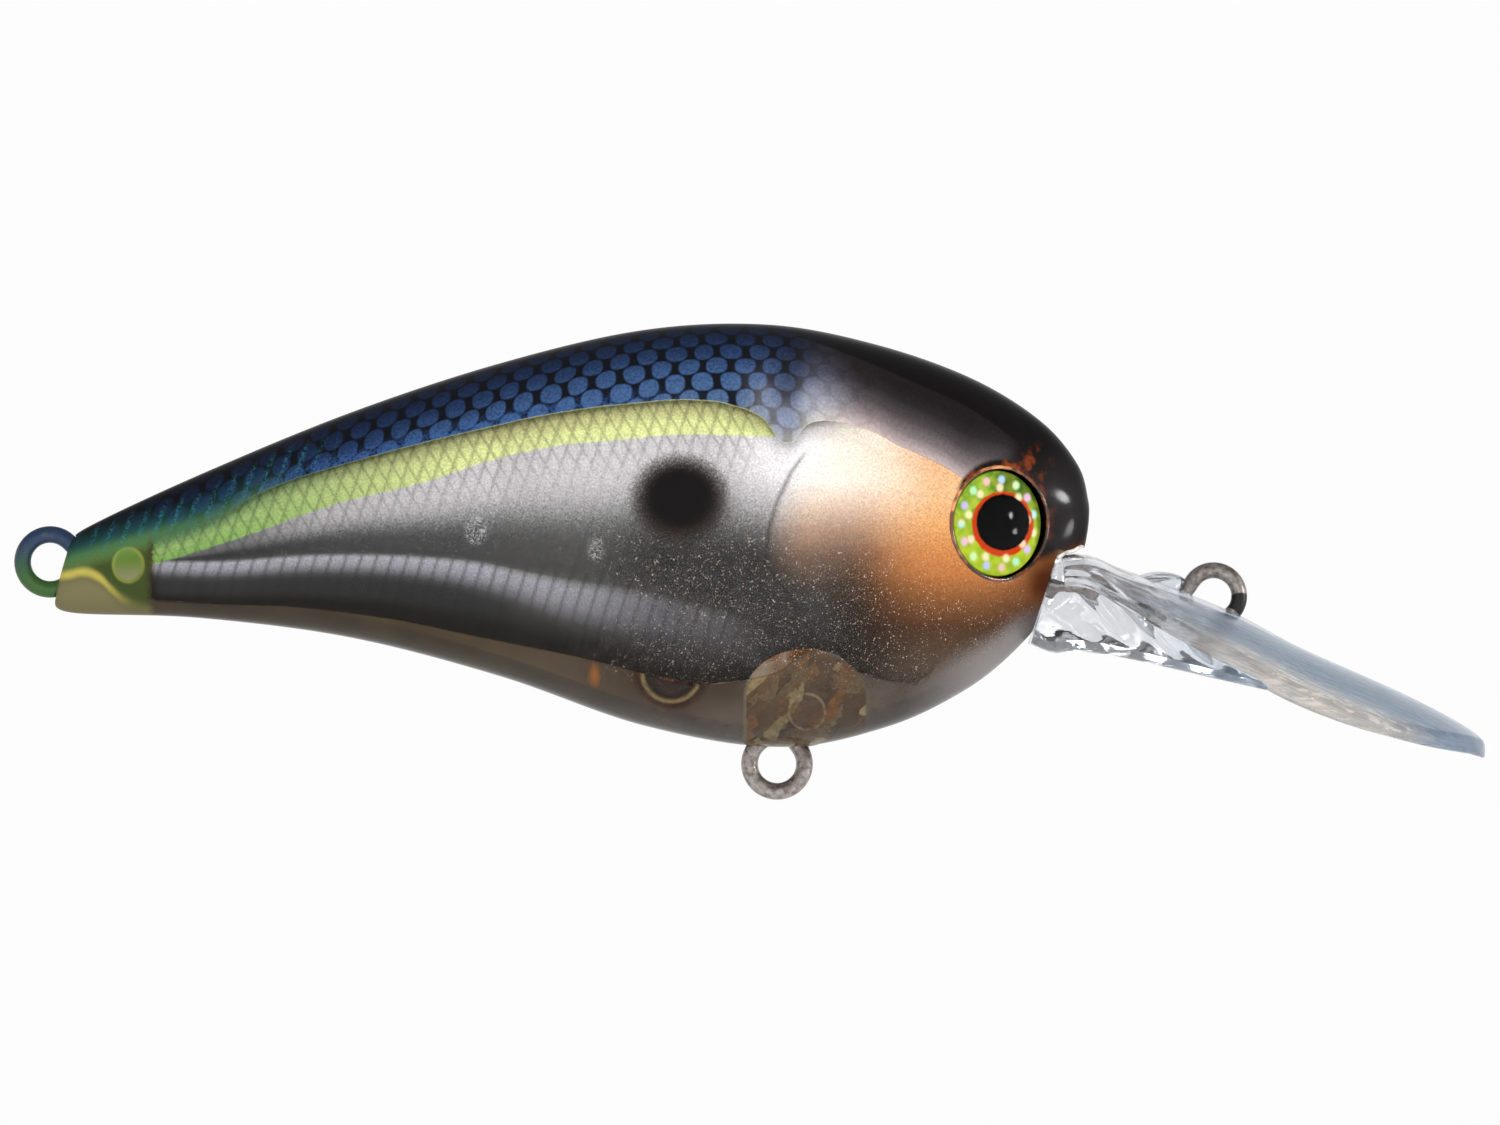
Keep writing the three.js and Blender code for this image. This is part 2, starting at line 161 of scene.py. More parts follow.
def station(x, z):
    """The section that passes through each point of the side view, found by halving."""
    low = np.zeros_like(x, dtype=float)
    high = np.ones_like(x, dtype=float)
    for _ in range(30):
        t = (low + high) / 2
        middle, up, _, _ = section(t)
        ahead = (x - middle[..., 0]) * up[..., 1] - (z - middle[..., 1]) * up[..., 0] > 0
        low = np.where(ahead, t, low)
        high = np.where(ahead, high, t)
    return low


def angle_at(t, x, z, inset):
    middle, up, half_height, _ = section(t, inset)
    rise = ((x - middle[..., 0]) * up[..., 0] + (z - middle[..., 1]) * up[..., 1]) / half_height
    return np.arccos(signed_power(np.clip(rise, -1, 1), SECTION_POWER / 2))


def flank_width(x, z):
    """How far the skin stands from the middle plane at points of the side view."""
    t = station(x, z)
    return -skin(t, angle_at(t, x, z, 0.0))[..., 1]


def smoothstep(value, low, high):
    share = np.clip((value - low) / (high - low), 0, 1)
    return share * share * (3 - 2 * share)


# ---------------------------------------------------------------- meshes


def make_object(name, points, faces, materials, uv=None):
    """A mesh object from body-frame points. uv, if given, holds one pair of millimetres per point."""
    mesh = bpy.data.meshes.new(name)
    mesh.from_pydata(to_row(points).tolist(), [], faces)
    for material in materials:
        mesh.materials.append(material)
    if uv is not None:
        layer = mesh.uv_layers.new(name="skin")
        corners = np.zeros(len(mesh.loops), dtype=int)
        mesh.loops.foreach_get("vertex_index", corners)
        layer.data.foreach_set("uv", np.asarray(uv, float)[corners].ravel())
    mesh.update()
    thing = bpy.data.objects.new(name, mesh)
    bpy.context.scene.collection.objects.link(thing)
    return thing


def recalculate(thing):
    """Turns every face outwards, which the booleans and the shading need."""
    work = bmesh.new()
    work.from_mesh(thing.data)
    bmesh.ops.recalc_face_normals(work, faces=work.faces)
    work.to_mesh(thing.data)
    work.free()
    thing.data.update()


def shade(thing, crease=35):
    thing.data.shade_smooth()
    thing.data.set_sharp_from_angle(angle=math.radians(crease))


def grid_faces(rows, columns, wrap=False, start=0):
    across = columns if wrap else columns - 1
    return [
        (
            start + row * columns + column,
            start + row * columns + (column + 1) % columns,
            start + (row + 1) * columns + (column + 1) % columns,
            start + (row + 1) * columns + column,
        )
        for row in range(rows - 1)
        for column in range(across)
    ]


def closed_tube(name, rings, materials, uv=None):
    """A closed surface through rings of points, shaped (rings, points per ring, 3)."""
    rows, columns = rings.shape[:2]
    faces = grid_faces(rows, columns, wrap=True)
    faces.append(tuple(range(columns)))
    faces.append(tuple(range((rows - 1) * columns, rows * columns)))
    flat_uv = None if uv is None else uv.reshape(-1, 2)
    thing = make_object(name, rings.reshape(-1, 3), faces, materials, flat_uv)
    recalculate(thing)
    return thing


def carve(thing, steps):
    """Applies booleans in order, each (operation, cutter), and removes the cutters."""
    for operation, cutter in steps:
        modifier = thing.modifiers.new(operation.lower(), "BOOLEAN")
        modifier.operation = operation
        modifier.solver = "MANIFOLD"
        modifier.object = cutter
    bpy.context.view_layer.update()
    baked = bpy.data.meshes.new_from_object(
        thing.evaluated_get(bpy.context.evaluated_depsgraph_get())
    )
    thing.modifiers.clear()
    thing.data = baked
    for cutter in {cutter for _, cutter in steps}:
        bpy.data.objects.remove(cutter)
    return thing


def use_slot_two(cutter):
    """Makes what a cutter leaves behind take the carved object's second material."""
    for polygon in cutter.data.polygons:
        polygon.material_index = 1
    return cutter


def rod(name, start, end, radius, materials, sides=64):
    """A cylinder between two body-frame points."""
    start = Vector(start)
    end = Vector(end)
    axis = (end - start).normalized()
    across = axis.orthogonal().normalized()
    over = axis.cross(across)
    turns = np.linspace(0, 2 * math.pi, sides, endpoint=False)
    circle = [across * math.cos(turn) * radius + over * math.sin(turn) * radius for turn in turns]
    rings = np.array([[list(centre + offset) for offset in circle] for centre in (start, end)])
    return closed_tube(name, rings, materials)


def slab(name, outline, half_width, materials):
    """An outline in the side view, given a thickness across the body."""
    rings = np.array([[(x, y, z) for x, z in outline] for y in (-half_width, half_width)])
    return closed_tube(name, rings, materials)


def wire(name, route, radius, materials, sides=20):
    """A round wire along closely spaced body-frame points, its ends slightly domed."""
    route = np.asarray(route, float)
    tangents = np.gradient(route, axis=0)
    tangents /= np.linalg.norm(tangents, axis=1, keepdims=True)
    across = np.cross(tangents[0], [0.0, 1.0, 0.0])
    turns = np.linspace(0, 2 * math.pi, sides, endpoint=False)
    rings = []
    for point, tangent in zip(route, tangents):
        across = across - tangent * across.dot(tangent)
        across /= np.linalg.norm(across)
        over = np.cross(tangent, across)
        offsets = np.outer(np.cos(turns), across) + np.outer(np.sin(turns), over)
        rings.append(point + radius * offsets)
    end_round = radius * 0.3
    first = route[0] + (rings[0] - route[0]) * 0.6 - tangents[0] * end_round
    last = route[-1] + (rings[-1] - route[-1]) * 0.6 + tangents[-1] * end_round
    return closed_tube(name, np.array([first, *rings, last]), materials)


# ---------------------------------------------------------------- shaders


def rgb(red, green, blue):
    """An sRGB colour from 0 to 255, made linear."""
    levels = [channel / 255 for channel in (red, green, blue)]
    return tuple(
        [level / 12.92 if level <= 0.04045 else ((level + 0.055) / 1.055) ** 2.4 for level in levels]
    ) + (1.0,)


def grey(level):
    return rgb(level, level, level)


class Shader:
    """One material's node tree. Values passed in are sockets or plain numbers and colours."""

    def __init__(self, name):
        self.material = bpy.data.materials.new(name)
        self.material.use_nodes = True
        self.tree = self.material.node_tree
        self.tree.nodes.clear()

    def node(self, kind, inputs=None, **settings):
        made = self.tree.nodes.new(kind)
        for key, value in settings.items():
            setattr(made, key, value)
        for key, value in (inputs or {}).items():
            self.feed(made.inputs[key], value)
        return made

    def feed(self, socket, value):
        if isinstance(value, bpy.types.NodeSocket):
            self.tree.links.new(value, socket)
        else:
            socket.default_value = value

    def math(self, operation, *values):
        made = self.node("ShaderNodeMath", operation=operation)
        for socket, value in zip(made.inputs, values):
            self.feed(socket, value)
        return made.outputs[0]

    def add(self, a, b):
        return self.math("ADD", a, b)

    def minus(self, a, b):
        return self.math("SUBTRACT", a, b)

    def times(self, a, b):
        return self.math("MULTIPLY", a, b)

    def over(self, a, b):
        return self.math("DIVIDE", a, b)

    def most(self, a, b):
        return self.math("MAXIMUM", a, b)

    def least(self, a, b):
        return self.math("MINIMUM", a, b)

    def inverse(self, a):
        return self.minus(1.0, a)

    def fade(self, value, low, high, start=0.0, end=1.0):
        """A smooth step from start, below low, to end, above high."""
        made = self.node("ShaderNodeMapRange", interpolation_type="SMOOTHSTEP")
        for socket, entry in zip(made.inputs, (value, low, high, start, end)):
            self.feed(socket, entry)
        return made.outputs[0]

    def vary(self, noise, low, high):
        """A noise's middle range, spread from low to high."""
        return self.fade(noise, 0.3, 0.7, low, high)

    def band(self, value, low, high, soft):
        rise = self.fade(value, low - soft, low + soft)
        fall = self.fade(value, high - soft, high + soft, 1.0, 0.0)
        return self.times(rise, fall)

    def mix(self, factor, a, b, blend="MIX"):
        made = self.node("ShaderNodeMix", data_type="RGBA", blend_type=blend)
        self.feed(made.inputs[0], factor)
        self.feed(made.inputs[6], a)
        self.feed(made.inputs[7], b)
        return made.outputs[2]

    def scaled(self, colour, factor):
        """A colour made darker or lighter."""
        made = self.node("ShaderNodeVectorMath", operation="SCALE")
        self.feed(made.inputs[0], colour)
        self.feed(made.inputs["Scale"], factor)
        return made.outputs[0]

    def ramp(self, value, low, high, stops):
        """A colour at each value from low to high; a stop is (value, colour)."""
        share = self.node(
            "ShaderNodeMapRange", {0: value, 1: float(low), 2: float(high)}
        ).outputs[0]
        made = self.node("ShaderNodeValToRGB", {0: share})
        elements = made.color_ramp.elements
        while len(elements) < len(stops):
            elements.new(0.5)
        for element, (place, colour) in zip(elements, stops):
            element.position = (place - low) / (high - low)
        for element, (place, colour) in zip(elements, stops):
            element.color = colour
        return made.outputs[0]

    def line(self, x, points):
        """The height of an outline, given as (x, height) points, at each x."""
        heights = [height for _, height in points]
        first, last = points[0][0], points[-1][0]
        low, high = min(heights) - 1, max(heights) + 1
        share = self.node(
            "ShaderNodeMapRange", {0: x, 1: float(first), 2: float(last)}
        ).outputs[0]
        made = self.node("ShaderNodeFloatCurve", {1: share})
        curve = made.mapping.curves[0]
        while len(curve.points) < len(points):
            curve.points.new(0.5, 0.5)
        for point, (place, height) in zip(curve.points, points):
            point.location = ((place - first) / (last - first), (height - low) / (high - low))
        made.mapping.update()
        return self.add(self.times(made.outputs[0], high - low), low)

    def noise(self, vector, scale, detail=2.0, roughness=0.5, distortion=0.0):
        made = self.node(
            "ShaderNodeTexNoise",
            {
                "Vector": vector,
                "Scale": scale,
                "Detail": detail,
                "Roughness": roughness,
                "Distortion": distortion,
            },
        )
        return made.outputs[0]

    def vector(self, x, y, z):
        return self.node("ShaderNodeCombineXYZ", {0: x, 1: y, 2: z}).outputs[0]

    def oval(self, across, up, centre, radii):
        """How far a place is from a centre, in shares of the radii across and up."""
        squares = [
            self.math("POWER", self.over(self.minus(value, middle), radius), 2.0)
            for value, middle, radius in zip((across, up), centre, radii)
        ]
        return self.math("SQRT", self.add(*squares))

    def body_place(self):
        """x, y and z in body millimetres, and the three as a vector."""
        objects = self.node("ShaderNodeTexCoord").outputs["Object"]
        metres = self.node("ShaderNodeSeparateXYZ", {0: objects})
        x = self.math("MULTIPLY_ADD", metres.outputs[0], 1 / MM, TIE.x)
        y = self.times(metres.outputs[1], 1 / MM)
        z = self.math("MULTIPLY_ADD", metres.outputs[2], 1 / MM, TIE.y)
        return x, y, z, self.vector(x, y, z)

    def bump(self, height, strength, distance=0.00005):
        return self.node(
            "ShaderNodeBump", {"Height": height, "Strength": strength, "Distance": distance}
        ).outputs[0]

    def principled(self, **inputs):
        named = {key.replace("_", " "): value for key, value in inputs.items()}
        return self.node("ShaderNodeBsdfPrincipled", named).outputs[0]

    def clear(self, tint, roughness=0.03, ior=1.5, normal=None):
        """A thin clear layer: what lies behind, tinted, under a gloss on the side that faces out."""
        behind = self.node("ShaderNodeBsdfTransparent", {0: tint}).outputs[0]
        gloss = self.node("ShaderNodeBsdfGlossy", {"Roughness": roughness})
        fresnel = self.node("ShaderNodeFresnel", {0: ior})
        if normal is not None:
            self.feed(gloss.inputs["Normal"], normal)
            self.feed(fresnel.inputs["Normal"], normal)
        inside = self.node("ShaderNodeNewGeometry").outputs["Backfacing"]
        amount = self.times(fresnel.outputs[0], self.inverse(inside))
        return self.blend(amount, behind, gloss.outputs[0])

    def blend(self, factor, a, b):
        made = self.node("ShaderNodeMixShader")
        for socket, entry in zip(made.inputs, (factor, a, b)):
            self.feed(socket, entry)
        return made.outputs[0]

    def done(self, surface):
        output = self.node("ShaderNodeOutputMaterial")
        self.feed(output.inputs[0], surface)
        return self.material


# ---------------------------------------------------------------- the pattern on the flanks

# From the tail to the shoulder the stripe's top is the foot of the back's paint.
SHOULDER = [
    (0, -0.4), (4.7, 0.96), (8, 1.95), (12.5, 4.25), (17.1, 5.68), (24.3, 7.48),
    (28.1, 8.27), (31.7, 8.75), (36.2, 9.0), (38.4, 8.6), (39.6, 8.05),
]
STRIPE_TOP = [*SHOULDER, (40.5, 7.03), (50, 7.0), (60, 7.0)]
STRIPE_FOOT = [
    (0, -1.6), (8, 0.56), (11.8, 1.8), (15.6, 3.15), (21, 4.5), (24.6, 5.68), (28.3, 6.47),
    (31.7, 6.8), (35, 7.06), (40.5, 6.98), (50, 7.0), (60, 7.0),
]
PAINT_FOOT = [
    *SHOULDER, (40.4, 7.1), (41.06, 6.6), (41.7, 7.15), (42.9, 7.85), (44.8, 7.56), (47.4, 6.4),
    (49.6, 5.4), (51.2, 4.5), (53.4, 3.9), (54.8, 1.9), (56.2, 0.7), (60, 0.2),
]
HEAD_SHINE = [
    (36, 13.6), (41, 12.85), (43.4, 12.0), (47.4, 10.35), (52, 8.1), (54.2, 6.3), (55.4, 4.4), (60, -2),
]
RIB_TOP = [
    (0, 0.6), (8, 0.11), (15.6, 0.5), (21.6, 0.32), (27.6, -0.5), (31.7, -0.96), (39, -2.7),
    (43, -4.9), (60, -5),
]
RIB_DEPTH = [(0, 0.9), (14, 1.2), (19, 1.35), (25, 1.95), (30.5, 2.9), (36, 3.2), (60, 3.2)]
THROAT = [(42, -6.0), (45, -6.4), (48, -6.7), (50.4, -5.6), (52.6, -4.4), (54.4, -3.2), (60, -2.6)]
SWOOSH = [
    (0, -0.8), (0.8, -0.7), (1.6, -0.55), (2.4, -0.8), (3.2, -1.55), (4.0, -2.2), (5.0, -2.6), (6.0, -2.7),
]
FOIL_FOOT = [
    (4.9, -1.5), (5.6, -2.14), (8.9, -2.36), (13.2, -2.5), (19.3, -3.26), (23.8, -4.2), (29.8, -5.4),
    (32.9, -6.2), (36.3, -6.86), (38.6, -6.6), (40.6, -6.1), (42.6, -4.95), (43.1, -4.95), (44.9, -6.1),
    (46.4, -6.6), (48.3, -6.86), (49.1, -6.2), (49.8, -4.9), (50.4, -3.9),
]
# The gill line is given as (height, x).
GILL = [
    (-4.7, 42.8), (-3.3, 41.9), (-1.35, 40.65), (-0.1, 39.85),
    (1.8, 40.0), (3.4, 40.5), (5.0, 41.25), (6.2, 42.1),
]
SPOT = Vector((35.1, 3.55))
BLOCK_CENTRE = Vector((42.1, -7.6))
BLOCK_REACH = (3.45, 2.76)


def cheek_colours(s, x, z):
    """Pale cream behind, copper in front, darker and more flaky towards the throat. The pale top is partly a
    painted highlight and the dark foot is partly painted shade.
    """
    behind = s.ramp(z, -7.5, 7.5, [
        (-7.3, grey(34)), (-4.7, rgb(38, 34, 30)), (-2.9, rgb(48, 40, 36)), (-1.3, rgb(66, 50, 38)),
        (0.4, rgb(132, 102, 82)), (1.8, rgb(190, 154, 130)), (3.0, rgb(232, 204, 182)),
        (4.4, rgb(253, 240, 226)), (7.4, rgb(255, 246, 232)),
    ])
    # Painted highlight: the cream is made a little brighter towards the top.
    behind = s.scaled(behind, s.fade(z, 2.5, 6.0, 0.94, 1.02))
    ahead = s.ramp(z, -7.5, 7.5, [
        (-7.4, rgb(116, 100, 88)), (-5.2, rgb(104, 84, 68)), (-3.6, rgb(104, 70, 46)),
        (-2.3, rgb(156, 100, 58)), (-0.6, rgb(218, 138, 76)), (0.6, rgb(222, 146, 84)),
        (2.1, rgb(226, 166, 106)), (3.6, rgb(222, 174, 128)), (7.4, rgb(218, 164, 120)),
    ])
    blend = s.fade(x, 43.5, 50.0)
    streaks = s.noise(s.vector(s.times(x, 0.9), 0.0, s.times(z, 3.2)), 1.0, 3.0, 0.6)
    drift = s.math("MULTIPLY_ADD", streaks, 0.9, -0.45)
    return s.mix(s.math("ADD", blend, s.times(drift, 0.35)), behind, ahead)


def silver_colours(s, x, z, share):
    """The silver side, by share of the way up from the ribs to the stripe: dark below and bright above, a
    painted reflection of the overhead light on the foil.
    """
    silver = s.ramp(share, 0.0, 1.0, [
        (0.0, grey(54)), (0.12, grey(66)), (0.26, grey(78)), (0.38, grey(116)), (0.48, grey(166)),
        (0.6, rgb(214, 210, 212)), (0.74, rgb(240, 236, 238)), (0.86, rgb(246, 242, 244)),
        (1.0, rgb(250, 246, 248)),
    ])
    # Painted highlight on the shoulder behind the gill line; lift makes the silver brighter towards the head.
    shoulder_highlight = s.times(s.fade(x, 37.0, 42.0), s.fade(z, 2.5, 6.0))
    lift = s.math("MULTIPLY_ADD", s.fade(x, 8.0, 36.0), 0.38, 0.29)
    lift = s.times(s.add(lift, s.times(shoulder_highlight, 0.4)), s.fade(x, 9.0, 16.0, 0.35, 1.0))
    # Painted shadow below and round the black spot.
    shadow = s.times(s.band(x, 32.0, 43.5, 2.5), s.fade(z, -0.5, 3.4, 1.0, 0.0))
    return s.scaled(silver, s.times(lift, s.math("MULTIPLY_ADD", shadow, -0.88, 1.0)))


def rib_colours(s, x, above):
    """The ribbed side below the silver: a bright strip, a painted reflection of the overhead light on the
    ribs' ledge, with painted shade downwards and forwards.
    """
    depth = s.over(s.times(above, -1.0), s.line(x, RIB_DEPTH))
    depth = s.most(s.minus(depth, s.fade(x, 23.0, 31.0, 0.0, 0.12)), 0.0)
    ribs = s.ramp(depth, 0.0, 2.0, [
        (0.0, grey(62)), (0.08, grey(112)), (0.2, rgb(138, 138, 145)), (0.5, rgb(124, 123, 130)),
        (0.72, rgb(92, 91, 97)), (0.92, grey(50)), (1.15, grey(20)), (1.6, grey(14)), (2.0, grey(18)),
    ])
    # Painted shade: the ribs darken forwards, below the black spot.
    return s.scaled(ribs, s.fade(x, 27.0, 36.0, 1.0, 0.22))


def striped(s, x, z, place, foot, top, colour):
    """The colour with the chartreuse stripe over it, green towards the tail."""
    edge = s.math("MULTIPLY_ADD", s.noise(place, 0.8, 2.0), 0.12, -0.06)
    above_foot = s.minus(z, foot)
    stripe = s.times(s.fade(s.add(above_foot, edge), -0.05, 0.07), s.fade(x, 40.3, 40.7, 1.0, 0.0))
    up_stripe = s.over(above_foot, s.minus(top, foot))
    chartreuse = s.ramp(up_stripe, 0.0, 1.2, [
        (0.0, rgb(214, 219, 152)), (0.35, rgb(216, 222, 150)), (0.85, rgb(216, 214, 150)),
        (1.2, rgb(190, 196, 132)),
    ])
    green = s.ramp(up_stripe, 0.0, 1.2, [
        (0.0, rgb(112, 156, 70)), (0.5, rgb(132, 164, 92)), (1.0, rgb(84, 124, 84)), (1.2, rgb(60, 104, 88)),
    ])
    stripe_colour = s.mix(s.fade(x, 7.0, 27.0), green, chartreuse)
    return s.mix(stripe, colour, s.scaled(stripe_colour, s.fade(x, 16.0, 36.0, 0.86, 1.2)))


def speckled(s, x, z, place, share, colour):
    """The colour with pale specks over the dark band and the low cheek."""
    dark_band = s.times(s.band(share, -0.05, 0.36, 0.12), s.fade(x, 41.0, 43.0, 1.0, 0.0))
    low_cheek = s.times(s.fade(x, 42.0, 45.0), s.band(z, -7.0, 0.4, 1.2))
    specks = s.fade(s.noise(place, 11.0, 1.0), 0.66, 0.74)
    sparse = s.fade(s.noise(place, 1.3, 2.0), 0.35, 0.6)
    salt = s.times(s.band(x, 33.0, 45.5, 2.0), s.fade(z, 1.5, 4.0, 1.0, 0.0))
    flaky = s.math("MULTIPLY_ADD", low_cheek, 0.9, s.most(s.times(dark_band, 0.3), s.times(salt, 0.8)))
    return s.mix(s.times(s.times(specks, sparse), flaky), colour, rgb(214, 190, 168))


def flank_colours(s, x, z, place):
    """Colour of the foil and of the flake paint that carries on from it towards the eye."""
    rib_top = s.line(x, RIB_TOP)
    stripe_foot = s.line(x, STRIPE_FOOT)
    stripe_top = s.line(x, STRIPE_TOP)
    above = s.minus(z, rib_top)
    spray = s.minus(s.noise(place, 10.0, 1.0), 0.5)
    share = s.over(above, s.minus(stripe_foot, rib_top))
    share = s.add(share, s.times(spray, 0.3))
    # Painted shade: the silver is shifted darker towards the black spot.
    share = s.minus(share, s.fade(x, 29.0, 37.0, 0.0, 0.07))
    silver_part = s.most(s.fade(above, -0.25, 0.25), s.fade(x, 36.5, 40.5))
    colour = s.mix(silver_part, rib_colours(s, x, above), silver_colours(s, x, z, share))
    colour = striped(s, x, z, place, stripe_foot, stripe_top, colour)

    # Painted shade: the cheek is made darker downwards, to half towards the throat.
    cheek = s.scaled(cheek_colours(s, x, z), s.fade(z, -2.5, 5.0, 0.5, 1.02))
    colour = s.mix(s.fade(s.minus(x, s.line(z, GILL)), -0.6, 2.6), colour, cheek)
    colour = s.scaled(colour, s.vary(s.noise(place, 9.0, 2.0, 0.6), 0.8, 1.2))
    return speckled(s, x, z, place, share, colour)


def scratches(s, x, z):
    """Two small scuffed patches of bright crossing lines."""
    amount = 0.0
    for centre_x, centre_z, width, height in ((23.7, 1.75, 0.75, 0.95), (30.4, 0.7, 0.55, 0.8)):
        away = s.oval(x, z, (centre_x, centre_z), (width, height))
        amount = s.add(amount, s.fade(away, 0.55, 1.1, 1.0, 0.0))
    lines = s.noise(s.vector(x, 0.0, z), 3.0, 3.0, 0.7, 1.5)
    thin = s.fade(s.math("ABSOLUTE", s.minus(lines, 0.5)), 0.0, 0.022, 1.0, 0.0)
    return s.times(amount, thin)


# ---------------------------------------------------------------- materials


def foil_material():
    s = Shader("embossed_foil")
    x, _, z, place = s.body_place()
    colour = flank_colours(s, x, z, place)
    relief = s.node("ShaderNodeAttribute", attribute_name="groove").outputs["Fac"]
    # Painted shade: the colour is darkened in the embossed grooves.
    colour = s.scaled(colour, s.math("MULTIPLY_ADD", relief, -0.8, 1.07))
    colour = s.mix(scratches(s, x, z), colour, grey(225))
    grain = s.noise(place, 7.0, 3.0, 0.6)
    roughness = s.vary(grain, 0.38, 0.55)
    surface = s.principled(
        Base_Color=colour,
        Metallic=0.45,
        Roughness=roughness,
        Normal=s.bump(grain, 0.25, 0.00002),
    )
    return s.done(surface)


def hex_scales(s, across, down):
    """Rounded cells in staggered rows: 1 inside a cell, 0 in the dark gaps between."""
    roundness = 2.4
    distances = []
    for shift in (0.0, 0.5):
        column = s.math("FRACT", s.add(s.over(across, SCALE_PITCH), shift + 100.0))
        row = s.math("FRACT", s.add(s.over(down, 2 * SCALE_ROW), shift + 100.0))
        sideways = s.times(s.minus(column, 0.5), SCALE_PITCH)
        endways = s.times(s.minus(row, 0.5), 2 * SCALE_ROW)
        width = s.math("POWER", s.math("ABSOLUTE", sideways), roundness)
        height = s.math("POWER", s.math("ABSOLUTE", endways), roundness)
        distances.append(s.math("POWER", s.add(width, height), 1 / roundness))
    nearest = s.least(*distances)
    return s.fade(nearest, 0.5, 0.64, 1.0, 0.0)


def back_paint(s, x, z, place):
    """Dark blue scales on the back, fading to a grey band and a black head; the grey band is partly the black
    paint's fade and partly a painted reflection of the overhead light.

    Gives the colour, the height above the paint's lower edge and the scales' cells.
    """
    uv = s.node("ShaderNodeUVMap", uv_map="skin").outputs[0]
    flat = s.node("ShaderNodeSeparateXYZ", {0: uv})
    wander = s.noise(place, 0.45, 1.0)
    across = s.add(flat.outputs[0], s.times(s.minus(wander, 0.5), 0.5))
    down = s.add(flat.outputs[1], s.times(s.minus(wander, 0.5), 0.4))
    cells = hex_scales(s, across, down)
    height = s.minus(z, s.line(x, PAINT_FOOT))

    mottle = s.noise(place, 6.0, 3.0, 0.65)
    cell_colour = s.ramp(down, 0.0, 8.0, [
        (0.0, rgb(8, 9, 13)), (1.4, rgb(10, 14, 24)), (2.8, rgb(14, 25, 47)), (4.2, rgb(26, 43, 72)),
        (6.0, rgb(48, 72, 108)), (8.0, rgb(66, 86, 114)),
    ])
    cell_colour = s.scaled(cell_colour, s.vary(mottle, 0.68, 1.3))
    gap_colour = s.ramp(down, 0.0, 8.0, [(0.0, rgb(7, 7, 9)), (3.0, rgb(8, 9, 14)), (8.0, rgb(15, 18, 25))])
    head_fade = s.fade(s.add(x, s.times(s.minus(wander, 0.5), 3.0)), 37.5, 45.0)
    scale_amount = s.times(cells, s.fade(x, 40.0, 48.0, 1.0, 0.0))
    blue = s.mix(scale_amount, gap_colour, cell_colour)
    lower_edge = s.times(s.fade(height, 0.0, 0.9, 0.6, 0.0), s.band(x, 12.0, 34.0, 4.0))
    blue = s.mix(s.times(lower_edge, s.fade(mottle, 0.35, 0.6)), blue, rgb(46, 78, 128))
    tail = s.times(s.fade(x, 4.0, 15.0, 1.0, 0.0), s.fade(height, 0.0, 2.0, 0.9, 0.0))
    blue = s.mix(tail, blue, s.mix(s.fade(height, -0.2, 1.1), rgb(78, 116, 50), rgb(28, 70, 66)))

    # Painted reflection: the grey band and the notch ramp ahead of it are lightest at the paint's foot and
    # darken upwards, partly the black paint's own fade; the black above HEAD_SHINE is where the painted
    # reflection ends.
    band = s.ramp(height, 0.0, 6.0, [
        (0.0, rgb(156, 142, 140)), (0.85, rgb(100, 91, 92)), (1.7, rgb(60, 54, 56)), (2.6, rgb(32, 28, 29)),
        (3.3, rgb(24, 20, 21)), (6.0, rgb(20, 16, 17)),
    ])
    notch = s.ramp(height, 0.0, 6.0, [
        (0.0, rgb(172, 168, 158)), (0.6, rgb(146, 146, 152)), (1.4, rgb(126, 128, 140)),
        (2.6, rgb(66, 66, 77)), (3.8, rgb(34, 33, 38)), (5.0, rgb(22, 20, 24)), (6.0, rgb(16, 14, 16)),
    ])
    head = s.mix(s.fade(x, 41.5, 45.5), notch, band)
    head = s.mix(s.times(s.times(cells, 0.3), s.fade(x, 44.0, 48.0, 1.0, 0.0)), head, s.scaled(head, 1.7))
    head = s.scaled(head, s.vary(mottle, 0.86, 1.14))
    shine = s.fade(s.minus(z, s.line(x, HEAD_SHINE)), -0.06, 0.06)
    black = s.most(s.times(shine, 0.94), s.fade(s.add(x, s.times(z, 0.12)), 53.9, 55.3))
    head = s.mix(black, head, rgb(9, 7, 7))
    colour = s.mix(head_fade, blue, head)

    lean = s.math("FRACT", s.add(s.over(s.minus(x, s.times(z, 0.33)), RIB_PITCH), 50.5))
    glint = s.times(s.band(lean, 0.36, 0.6, 0.14), s.band(height, 0.2, 1.7, 0.5))
    glint = s.times(s.times(glint, s.fade(mottle, 0.42, 0.6)), s.band(x, 2.0, 15.0, 1.5))
    colour = s.mix(s.times(glint, 0.4), colour, rgb(48, 116, 128))
    ridge = s.times(s.fade(flat.outputs[1], 0.2, 1.5, 1.0, 0.0), s.fade(x, 1.0, 6.0))
    return s.mix(ridge, colour, rgb(16, 15, 17)), height, cells


